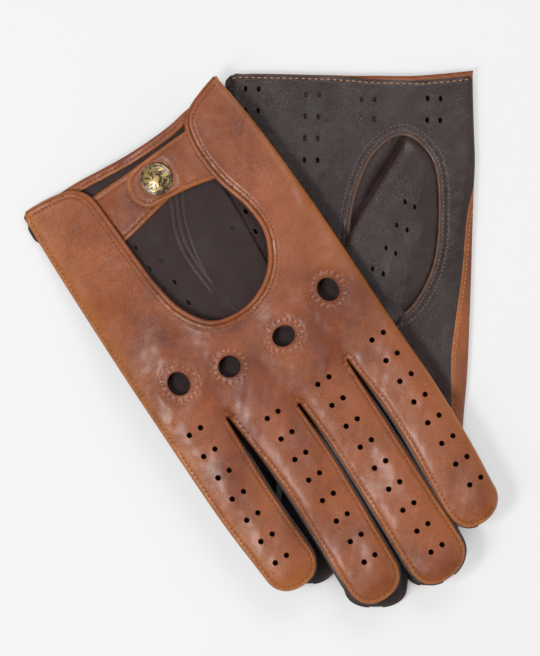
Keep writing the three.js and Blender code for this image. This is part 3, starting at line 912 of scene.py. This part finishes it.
def tan_wear(g):
    """Burnished edges: broad along the little-finger side, narrow elsewhere."""
    def wear(p):
        d_gap, d_side, d_fold = (distance(p, line) for line in (g.gap, g.side, g.fold))
        d_open = distance(p, OPENING_LINE)
        tips = smooth((p[:, 1] - 195) / 25)
        return np.clip((0.3 + 0.5 * tips) * np.exp(-d_gap / 1.5) + 0.75 * np.exp(-d_side / 5)
                       + 0.6 * np.exp(-d_fold / 1.8) + 0.25 * np.exp(-d_open / 1.2), 0, 1)
    return wear


def dark_wear(p):
    return 0.5 * np.exp(-distance(p, KEYHOLE_LINE, True) / 0.9)


def hand_edge(pairs, low, high):
    """A hand side edge between two heights, as plan points going up."""
    line = edge_line(pairs, GRID)
    keep = (line[:, 1] >= low) & (line[:, 1] <= high)
    return line[keep]


def back_hand(g):
    outline = np.vstack([hand_edge(PINKY_EDGE[g.hand], 4, PINKY_ROOT), hand_top(g),
                         hand_edge(INDEX_EDGE[g.hand], 0.5, INDEX_ROOT)[::-1], OPENING_LINE])
    holes = [circle(k["at"], np.array(k["half"]) + 0.1, 44) for k in KNUCKLES.values()]
    holes += pair_holes([r for n in FINGER_ORDER for r in BACK_HOLES[n]
                         if r[2] < FINGERS[n]["base"] - 1.5])
    return sheet("back_leather", g, outline, holes, back(g), 1, TAN, tan_wear(g),
                 extra=fine_rings(), node="back_panel")


def rise_between(line, low, high):
    """The part of a line that climbs in y, cut exactly at two heights."""
    inner = line[(line[:, 1] > low + 0.3) & (line[:, 1] < high - 0.3)]
    ends = [(np.interp(y, line[:, 1], line[:, 0]), y) for y in (low, high)]
    return np.vstack([ends[:1], inner, ends[1:]])


def wrap_line(low, high):
    return rise_between(edge_line(WRAP_BORDER, GRID), low, high)


def wrap_strip(g):
    """The tan leather that comes round the index side on to the palm."""
    border = wrap_line(WRAP_START, WRAP_END)
    edge = rise_between(g.fold, WRAP_START, WRAP_END)

    def height(p):
        d = distance(p, border)
        return palm(g)(p) - 0.1 + 0.3 * bell(d, 0, 0.8) + 0.15 * bell(d, 1.3, 0.4)

    def wear(p):
        return np.clip(0.7 * np.exp(-distance(p, border) / 0.8) + 0.3 * tan_wear(g)(p), 0, 1)

    return sheet("index_wrap", g, np.vstack([edge, border[::-1]]), [], height, -1, TAN, wear,
                 spacing=1.1)


def cuff_line(g):
    """The palm's cuff edge from the index side."""
    return smooth_line(PALM_CUFF[g.hand], GRID)


def palm_hand(g):
    low_edge = hand_edge(INDEX_EDGE[g.hand], 1.0 if g.hand == "left" else 2.5, 48)
    side = hand_edge(PINKY_EDGE[g.hand], 3.2 if g.hand == "left" else 2, PINKY_ROOT)
    if g.hand == "left":
        side[:, 0] += 0.7 * smooth(side[:, 1] / 12) * smooth((118 - side[:, 1]) / 20)
    else:
        side[:, 0] += 0.3 * bell(side[:, 1], 11, 4)
    outline = np.vstack([side, hand_top_palm(g), wrap_line(WRAP_START, 140)[::-1],
                         low_edge[::-1], cuff_line(g)])
    holes = [offset(KEYHOLE_LINE, -0.2, True)] + pair_holes(PALM_HOLES[g.hand], PALM_HOLE)

    def height(p):
        z = palm(g)(p)
        d = distance(p, KEYHOLE_LINE, True)
        z += 0.5 * bell(d, 0, 0.9) - 0.2 * bell(d, 1.6, 0.6) + 0.25 * bell(d, 3.4, 0.5)
        cuff = distance(p, cuff_line(g))
        return z + 0.3 * bell(cuff, 1.3, 0.4) - 0.15 * bell(cuff, 2.6, 0.7) + 0.2 * bell(cuff, 0, 0.5)

    rows = [offset(KEYHOLE_LINE, -by, True) for by in (0.9, 1.6, 2.3, 3.3, 4.4)]
    rows.append(cuff_line(g)[2:-2] + [0, 1.3])
    made = sheet("palm_leather", g, outline, holes, height, -1, DARK, dark_wear, extra=rows,
                 node="palm_panel")
    return made, height


def hand_top_palm(g):
    """As hand_top, but stopping at the tan wrap on the index finger."""
    line = hand_top(g)
    return line[(line[:, 0] > -48.6) | (line[:, 1] < 139)]


def finger_part(g, name, side):
    """One finger cover, joined to the hand along its base line."""
    base = base_line(g, name)
    outline = g.lines[name]
    if side < 0 and name == "index":
        border = wrap_line(140.02, WRAP_END)
        first = np.argmax(outline[:, 1] > WRAP_END + 1)
        outline = np.vstack([border, outline[first:]])
        base = base[base[:, 0] > border[0, 0] + 0.6]
    outline = np.vstack([outline, base[1:-1][::-1]])
    holes, kind, material = [], "front", DARK
    if side > 0:
        kind, material = "back", TAN
        holes = pair_holes([r for r in BACK_HOLES[name] if r[2] > FINGERS[name]["base"] + 1.5])
    return sheet(f"{name}_{kind}_leather", g, outline, holes, back(g) if side > 0 else palm(g), side,
                 material, tan_wear(g) if side > 0 else None,
                 extra=[offset(g.lines[name], by) for by in (0.6, 1.2, SEAM_INSET, 2.4)],
                 node=f"{name}_{kind}")


def fourchette(g, name, wall, line):
    """The dark strip between a finger's covers: it bulges out between the two seams."""
    base, tip = g.fingers[name]["base"], g.fingers[name]["tip"]
    out = -right_of(line)
    near_tip = np.clip((tip - 4 - line[:, 1]) / 12, 0, 1)
    half = 0.1 + 0.95 * near_tip
    bulge = (0.15 + (BULGE - 0.15) * smooth((line[:, 1] - base) / 26)) * (0.35 + 0.65 * near_tip)
    across = np.linspace(-1, 1, 9)
    shell = [(1.0, a) for a in across] + [(0.25, a) for a in across[::-1]]
    rings = np.zeros((len(line), len(shell), 3))
    for k, (layer, a) in enumerate(shell):
        reach = -0.45 + (0.45 + bulge) * (1 - a * a) * layer - 0.5 * (1 - layer)
        rings[:, k, :2] = line + out * reach[:, None]
        rings[:, k, 2] = -a * half * (0.6 + 0.4 * layer)
    return loft(f"{name}_{wall}_strip", g, rings, DARK, node=f"{name}_fourchette_{wall}")


FOURCHETTES = {
    "index": (("inner", 1),),
    "middle": (("index_side", -1), ("ring_side", 1)),
    "ring": (("middle_side", -1), ("pinky_side", 1)),
    "pinky": (("inner", -1),),
}
BULGE = 1.25


def finger_walls(g, name):
    line = g.lines[name]
    top = tip_index(line)
    return [fourchette(g, name, wall, line[: top - 2] if side < 0 else line[top + 2:])
            for wall, side in FOURCHETTES[name]]


# ------------------------------------------------------------------ the thumb
def thumb_outline():
    low, high = smooth_line(THUMB_LOW, GRID), smooth_line(THUMB_HIGH[::-1], GRID)
    tip = blunt_tip(THUMB_LOW[-1], THUMB_HIGH[-1], THUMB_TIP, bluntness=0.87)[:, ::-1]
    sewn = np.column_stack(thumb_frame(THUMB_SEWN))
    loop = resample(np.vstack([sewn, low, tip, high]), GRID)
    return from_thumb(loop[:, 0], loop[:, 1])


def sewn_line():
    """Where the thumb's upper skin meets the keyhole: from the arch down the index side."""
    line = offset(KEYHOLE_LINE, 0.4, True)
    s, side = thumb_frame(line)
    start = int(np.argmin(np.hypot(s + 27.5, side - 15.2)))
    line, s = np.roll(line, -start, 0), np.roll(s, -start)
    return line[: int(np.argmax(s > 46))]


THUMB_SEWN = sewn_line()
THUMB_LINE = thumb_outline()


def thumb_height(p):
    """The upper skin rises from the keyhole seam, and rounds over at the free edges."""
    s, side = thumb_frame(p)
    d = distance(p, THUMB_LINE, True)
    free = 2.5 + 1.9 * puff(d / 7)
    sewn = 0.1 + 4.4 * puff(distance(p, THUMB_SEWN) / 15)
    lift = np.minimum(free, sewn)
    soft = puff(d / 9)
    lift += soft * (0.22 * MEDIUM(p) + 0.14 * BROAD(p + 40))
    return PALM_BOTTOM - np.minimum(lift, 4.4)


def thumb_under(p):
    d = distance(p, THUMB_LINE, True)
    outer = thumb_height(p)
    return np.maximum(np.minimum(outer + 0.5 + 1.6 * puff(d / 5), PALM_BOTTOM - 0.42), outer + 0.3)


def thumb(g):
    holes = [circle(at, PALM_HOLE, 10) for pair in THUMB_HOLES for at in pair]
    return sheet("thumb_stall", g, THUMB_LINE, holes, thumb_height, -1, DARK,
                 lambda p: 0.25 * np.exp(-distance(p, THUMB_LINE, True) / 1.2), under=thumb_under,
                 node="thumb")


def gusset(g):
    """The leather that closes the keyhole below the thumb."""
    loop = offset(KEYHOLE_LINE, -0.9, True)

    def height(p):
        d = distance(p, KEYHOLE_LINE, True)
        s, side = thumb_frame(p)
        fold = bell(side, along(THUMB_HIGH, s), 3.2)
        depth = 1.5 if g.hand == "left" else 0.2
        z = PALM_BOTTOM + 0.55 - 0.4 * (1 - puff(d / 3))
        return z + depth * fold * puff(d / 7) + 0.12 * MEDIUM(p)

    seen_inside = [circle(at, PALM_HOLE, 10) for at in ((-30.8, 57), (-29.4, 67.1))]
    holes = seen_inside if g.hand == "right" else []
    return sheet("thumb_gusset", g, loop, holes, height, -1, DARK)


def thumb_welt(g, height):
    return sweep("keyhole_welt", g, offset(KEYHOLE_LINE, 0.5, True), half_round(-2.0, -0.75, 0.7),
                 height, DARK, closed=True, wear=0.75, node="thumb_welt")


def fill(made, name, value):
    """Sets a piece's wear or flesh attribute to one value everywhere."""
    made.data.attributes[name].data.foreach_set(
        "value", np.full(len(made.data.vertices), value, np.float32))


# ------------------------------------------------------------------ opening, knuckles, straps
def piping(g):
    """The bound edge: full in the wrist opening, slimmer along the cuff corners."""
    line = resample(OPENING_LINE, 1.0)
    slim = smooth((13 - line[:, 1]) / 10)

    def height(p):
        z = back(g)(p) + 0.5 * bell(distance(p, OPENING_LINE), 0, 0.9) + 0.1
        return np.minimum(z, HAND_TOP - 0.95) if g.hand == "left" else z

    return sweep("opening_binding", g, line, half_round(2.4, 1.0, -1.3), height, TAN, taper=1.2,
                 scale=1 - 0.55 * slim, wear=0.12, node="opening_piping")


def hem(g, name):
    spec = KNUCKLES[name]
    ring = circle(spec["at"], np.array(spec["half"]) + 0.5, 72)
    return sweep(f"{name}_hem_roll", g, ring[::-1], half_round(0.9, 0.2, -1.2),
                 lambda p: back(g)(p) - 0.75, TAN, closed=True, node=f"{name}_knuckle_hem")


def whip_stitches(g):
    """Short stitches fanned round each knuckle hole."""
    rows = []
    for spec in KNUCKLES.values():
        jitter = rng.uniform(-0.05, 0.05, WHIP_COUNT)
        turn = (np.arange(WHIP_COUNT) + 0.5) * 2 * np.pi / WHIP_COUNT + jitter
        way = np.column_stack([np.cos(turn), np.sin(turn)])
        out = np.array(spec["half"]) + 2.2 + rng.uniform(-0.3, 0.3, (WHIP_COUNT, 1))
        rows.append((spec["at"] + way * out, way))
    return lay_stitches("knuckle_stitches", g, rows, back(g), 1, PALE_THREAD, 0.85, 0.25,
                        lift=0.12, sunk=0.3)


OVER_TOP = 1.55
UNDER_TOP = -0.8
STRAP_LEATHER = 0.7


def strap_outline(low, high, round_at=None):
    """A strap between two edges given left to right; the right end may be round."""
    low, high = smooth_line(low, GRID), smooth_line(high, GRID)
    if round_at is None:
        return np.vstack([low, high[::-1]])
    a, b = low[-1], high[-1]
    turn = np.linspace(-np.pi / 2, np.pi / 2, 21)[1:-1]
    middle, half = (a[1] + b[1]) / 2, (b[1] - a[1]) / 2
    nose = np.column_stack([a[0] + (round_at - a[0]) * np.cos(turn) ** 0.9,
                            middle + half * np.sin(turn)])
    return resample(np.vstack([low, nose, high[::-1]]), 1.1)


OVER_LOW = [(-28.6, 11.2), (-14, 11.6), (0.5, 12.2)]
OVER_HIGH = [(-28.6, 37), (-14, 33.6), (0.5, 32)]
OVER_LINE = strap_outline(OVER_LOW, OVER_HIGH, 9.2)
UNDER_LINE = strap_outline([(-16, 12.3), (33, 12.3)], [(-16, 31), (0, 33.5), (22, 37.5), (33, 38)])


def strap(g, name, node, loop, top, extra_relief=None):
    edge = loop[(loop[:, 0] > loop[:, 0].min() + 0.5) & (loop[:, 0] < 28)]

    def height(p):
        d = distance(p, edge)
        z = top - 0.4 * (1 - puff(d / 1.1)) + 0.22 * bell(d, 1.2, 0.7) - 0.3 * bell(d, 2.4, 0.45)
        z += 0.12 * MEDIUM(p * 1.6) * puff(d / 6)
        return z if extra_relief is None else z + extra_relief(p)

    def wear(p):
        return 0.5 * np.exp(-distance(p, edge) / 1.3)

    made = sheet(name, g, loop, [], height, 1, TAN, wear, spacing=0.9, thickness=STRAP_LEATHER,
                 node=node)
    inset = offset(resample(loop, 1.0, True), -2.4 if area(loop) > 0 else 2.4, True)
    keep = (inset[:, 0] > loop[:, 0].min() + 3) & (inset[:, 0] < 26)
    first = int(np.argmin(keep))
    inset, keep = np.roll(inset, -first, 0), np.roll(keep, -first)
    cuts = np.flatnonzero(np.diff(keep)) + 1
    runs = [run for run, wanted in zip(np.split(inset, cuts), np.split(keep, cuts)) if wanted[0]]
    seam = sew(name + "_stitches", g, runs, height, 1, BROWN_THREAD, pitch=2.0, radius=0.28)
    return made, seam


def press_marks(p):
    """The strap dips and creases round the pressed-in snap."""
    r = np.linalg.norm(p[:, :2] - SNAP_AT, axis=1)
    turn = np.arctan2(p[:, 1] - SNAP_AT[1], p[:, 0] - SNAP_AT[0])
    return (-0.35 * bell(r, 7.6, 1.3) + 0.35 * bell(r, 10.4 + 1.2 * np.cos(3 * turn), 1.6)
            * (0.55 + 0.45 * np.cos(turn - 2.6)))


def turned_piece(piece, g, node, profile, material, count, relief=None):
    """A lathe piece on the snap's axis, from (radius, height) pairs."""
    turn = np.arange(count) * 2 * np.pi / count
    rings = []
    for r, z in profile:
        height = np.full(count, float(z))
        if relief is not None:
            height += relief(r, turn)
        x, y = SNAP_AT[0] + r * np.cos(turn), SNAP_AT[1] + r * np.sin(turn)
        rings.append(np.column_stack([x, y, height]))
    return loft(piece, g, np.array(rings), material, turned=True, node=node)


def cap_relief(r, turn):
    """A generic pressed pattern: eight leaves round a button, inside a milled ring."""
    leaves = 0.022 * bell(r, 3.4, 1.1) * np.cos(8 * turn + 0.5 * r)
    return leaves + 0.02 * bell(r, 1.6, 0.35) + 0.02 * bell(r, 5.7, 0.2) * np.cos(40 * turn)


def snap_cap(g):
    dome = [(r, 2.5 + 0.9 * (1 - (r / 6.1) ** 2)) for r in np.linspace(0.15, 6.1, 20)][::-1]
    profile = [(0.3, 0.9), (1.5, 0.9), (1.5, 1.7), (6.8, 1.7), (7.25, 1.85), (7.4, 2.15), (7.3, 2.5),
               (6.95, 2.72), (6.6, 2.72), (6.3, 2.52)] + dome
    count = 96
    made = turned_piece("snap_button", g, "snap_cap", profile, BRASS, count, cap_relief)
    r = np.repeat([p[0] for p in profile], count)
    turn = np.tile(np.arange(count) * 2 * np.pi / count, len(profile))
    between = (np.cos(8 * turn + 0.5 * r) < -0.55) * bell(r, 3.4, 1.0)
    float_attribute(made, "recess", np.clip(bell(r, 6.35, 0.35) + 0.7 * between, 0, 1))
    return made


SNAP_HIDDEN = {
    "snap_socket": [(2.6, 0), (5, 0), (5, 0.6), (2.6, 0.6), (2.6, 0)],
    "snap_stud": [(0.2, -0.6), (4.8, -0.6), (5, -0.45), (4.8, -0.25), (2, -0.25), (2.2, 0.15),
                  (1.9, 0.35), (1.5, 0.45), (0.2, 0.45)],
    "snap_post": [(0.2, -2.15), (4.3, -2.15), (4.5, -2), (4.3, -1.75), (1.5, -1.75), (1.5, -0.85),
                  (0.2, -0.85)],
}


def hidden_snap(g, node):
    return turned_piece(node + "_metal", g, node, SNAP_HIDDEN[node], DULL_BRASS, 48)


def cuff_facing(g):
    """The palm's cuff hem: a tan band that shows beyond the palm's edge and through the opening."""
    low = smooth_line(TAN_CUFF[g.hand], 1.1)
    narrow = np.column_stack([np.where(low[:, 0] < 0, 0.995, 0.93), np.ones(len(low))])
    high = low * narrow + [0, HEM_WIDTH]
    row = low * [0.97, 1] + [0, HEM_WIDTH - 1.9]

    def height(p):
        d = np.minimum(distance(p, low), distance(p, high))
        return -1.45 + 0.35 * puff(d / 1.2) - 0.15 * bell(distance(p, row), 0, 0.4) + 0.08 * MEDIUM(p)

    made = sheet("cuff_hem", g, np.vstack([low, high[::-1]]), [], height, 1, TAN,
                 lambda p: 0.5 * np.exp(-distance(p, high) / 1.0), spacing=1.0, thickness=0.9,
                 node="cuff_facing")
    fill(made, "flesh", 0)
    return [made, sew("cuff_hem_stitches", g, [row], height, 1, BROWN_THREAD, pitch=2.1)]


def inner_fold(g):
    """Inside the glove, a flap of the palm leather ends in a free edge over the thumb's root."""
    free = smooth_line([(-29.2, 24), (-28.4, 40), (-27.4, 58), (-25.2, 84), (-24.5, 93)], 1.2)
    loop = np.vstack([free, smooth_line([(-11, 93), (-10, 60), (-12, 24)], 1.2)])

    def height(p):
        d = distance(p, free)
        edge = -0.7 - 0.35 * (1 - puff(d / 1.6)) + 0.1 * MEDIUM(p)
        if g.hand == "left":
            return edge
        rise = 1.1 * smooth((p[:, 1] - 38) / 20)
        return edge - 0.2 + rise - (1.2 + rise) * smooth(d / 12)

    made = sheet("inner_fold", g, loop, [circle((-21.3, 60.1), PALM_HOLE, 10)], height, 1, DARK,
                 spacing=1.2, thickness=0.5, extra=[offset(free, by) for by in (0.5, 1.0, 1.7)])
    fill(made, "flesh", 1)
    fill(made, "wear", 0)
    return made


def inner_seams(g):
    """The thumb's seam allowance, seen inside the glove as soft ridges."""
    knots = [(-9, 30), (-6.5, 36), (-2.3, 44.5), (0.4, 53), (1.3, 62), (0.9, 72), (-0.8, 88), (-3, 98)]
    lines = [offset(smooth_line(knots, 1.0), by) for by in (-1.5, 1.2)]
    border = offset(KEYHOLE_LINE, -1.9, True)
    start = int(np.argmax(border[:, 1]))
    border = np.roll(border, -start, 0)
    lines.append(border[: int(np.argmin(border[:, 1]))])
    return [sweep(f"inner_seam_{k + 1}", g, line, half_round(1.9, 0.5, -0.5),
                  lambda p: np.full(len(p), PALM_BOTTOM + 1.02), DARK, taper=6, wear=0.35, flesh=0.6)
            for k, line in enumerate(lines)]


# ------------------------------------------------------------------ sewing lines
def inset_line(line, by):
    """A line moved to the panel side, with points 1 mm apart."""
    return resample(offset(line, by), 1.0)


def finger_seams(g, name):
    """A stitch row on the back of a finger, just inside its sewn edges."""
    line = g.lines[name]
    part = line[tip_index(line) - 8:-2] if name == "index" else line[2:-2]
    inner = inset_line(part, SEAM_INSET)
    return sew(f"{name}_seam", g, [inner], back(g), 1, BROWN_THREAD)


def hand_seams(g):
    side = inset_line(hand_edge(PINKY_EDGE[g.hand], 4, 128), -SEAM_INSET)
    around = inset_line(OPENING_LINE[3:-3], -1.9)
    return [sew("side_seam", g, [side], back(g), 1, BROWN_THREAD),
            sew("opening_seam", g, [around], back(g), 1, BROWN_THREAD, pitch=2.0, radius=0.27,
                lift=0.1)]


def palm_seams(g, height):
    cuff = cuff_line(g) + [0, 1.25]
    rings = [offset(KEYHOLE_LINE, by, True) for by in (-2.1, -4.6)]
    rows = [np.vstack([ring, ring[:1]]) for ring in rings]
    inner = inset_line(wrap_line(60, 139), -1.9)
    return [sew("palm_cuff_seam", g, [cuff[1:-1]], height, -1, GOLD_THREAD, pitch=2.9, radius=0.34,
                share=0.62),
            sew("keyhole_seam", g, rows, height, -1, DARK_THREAD, pitch=1.9, radius=0.27),
            sew("wrap_seam", g, [inner], lambda p: palm(g)(p) - 0.1, -1, TAN_THREAD, pitch=2.2)]


# ------------------------------------------------------------------ both gloves
def metres(g, x, y, z=0.0):
    return tuple(g.to_frame(np.array([[x, y, z]], float))[0])


def build(hand):
    g = Glove(hand)
    body = f"{hand}_hand"
    palm_piece, palm_face = palm_hand(g)
    with_hand = [back_hand(g), palm_piece, gusset(g), thumb_welt(g, palm_face), piping(g),
                 whip_stitches(g), inner_fold(g)] + inner_seams(g)
    with_hand += [hem(g, name) for name in KNUCKLES] + cuff_facing(g) + hand_seams(g)
    with_hand += palm_seams(g, palm_face)
    under, under_seam = strap(g, "under_tab", "under_strap", UNDER_LINE, UNDER_TOP)
    with_hand += [under, under_seam, hidden_snap(g, "snap_stud"), hidden_snap(g, "snap_post")]
    for piece in with_hand:
        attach(piece, body)

    over, over_seam = strap(g, "over_tab", "over_strap", OVER_LINE, OVER_TOP, press_marks)
    for piece in (over, over_seam):
        metres(g, -27, 24)
        metres(g, -15, 24)
        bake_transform(piece)
    for piece in (snap_cap(g), hidden_snap(g, "snap_socket")):
        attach(piece, f"{hand}_strap_flap")

    stall = thumb(g)
    root, tip = from_thumb(np.array([0.0, 50.0]), np.array([0.0, 0.0]))
    metres(g, *root)
    metres(g, *tip)
    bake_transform(stall)

    for name in FINGER_ORDER:
        pieces = [finger_part(g, name, 1), finger_part(g, name, -1), finger_seams(g, name)]
        pieces += finger_walls(g, name)
        if name == "index":
            pieces.append(wrap_strip(g))
        x = (FINGERS[name]["low"][0][1] + FINGERS[name]["high"][0][1]) / 2
        base = FINGERS[name]["base"]
        for piece in pieces:
            metres(g, x, base - 1)
            metres(g, x, base + 24)
            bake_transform(piece)


for hand in ("left", "right"):
    build(hand)


# ------------------------------------------------------------------ table, light, camera
def paper():
    """A white table that glows evenly, with painted shade: the glow fades out where the gloves lie close
    above it, so real shadows stay faint and the table stays dark right under the gloves.
    """
    m = Shader("white_table")
    near = m.add("ShaderNodeAmbientOcclusion", {"samples": 6}, Distance=0.07).outputs["AO"]
    # Painted shade: ambient occlusion from the gloves close above cuts the table's glow.
    glow_outside_painted_shade = m.span(near, 0.22, 0.46)
    return m.finish(Base_Color=(0.3, 0.3, 0.3, 1), Roughness=0.9, Specular_IOR_Level=0.1,
                    Emission_Color=(1, 1, 1, 1), Emission_Strength=m.math("MULTIPLY", glow_outside_painted_shade, 0.54),
                    Normal=m.bump(m.noise(1500, 2), 0.00002))


bpy.ops.mesh.primitive_plane_add(size=3.2, location=(0, 0, 0))
table = bpy.context.object
table.name = "table_top"
table.data.materials.append(paper())

scene = bpy.context.scene


def area_light(name, place, size, power):
    """A white panel that faces the middle of the table."""
    lamp = bpy.data.lights.new(name, "AREA")
    lamp.shape = "RECTANGLE"
    lamp.size, lamp.size_y = size
    lamp.energy = power
    made = bpy.data.objects.new(name, lamp)
    made.location = place
    made.visible_camera = False
    made.rotation_euler = (-Vector(place)).to_track_quat("-Z", "Y").to_euler()
    scene.collection.objects.link(made)


area_light("gloss", (-0.38, -0.2, 1.0), (0.22, 0.22), 6.5)
area_light("key", (-0.62, -0.42, 0.85), (0.4, 0.4), 2.3)
area_light("top", (0.25, 0.75, 1.1), (0.9, 0.6), 7.3)
area_light("fill", (0.95, -0.1, 0.7), (0.8, 0.8), 1.8)
world = bpy.data.worlds.new("studio")
world.use_nodes = True
world.node_tree.nodes["Background"].inputs[0].default_value = (1, 1, 1, 1)
world.node_tree.nodes["Background"].inputs[1].default_value = 0.24
scene.world = world
scene.view_settings.view_transform = "Standard"
scene.view_settings.look = "None"

camera_data = bpy.data.cameras.new("camera")
camera = bpy.data.objects.new("camera", camera_data)
scene.collection.objects.link(camera)
CAMERA_HEIGHT = 4.0
PICTURE_HEIGHT = 0.2998
camera_data.lens = 36 * CAMERA_HEIGHT / PICTURE_HEIGHT
camera_data.clip_start = 0.01
camera.location = (0.00468, 0.00742, CAMERA_HEIGHT + 0.02)
scene.camera = camera
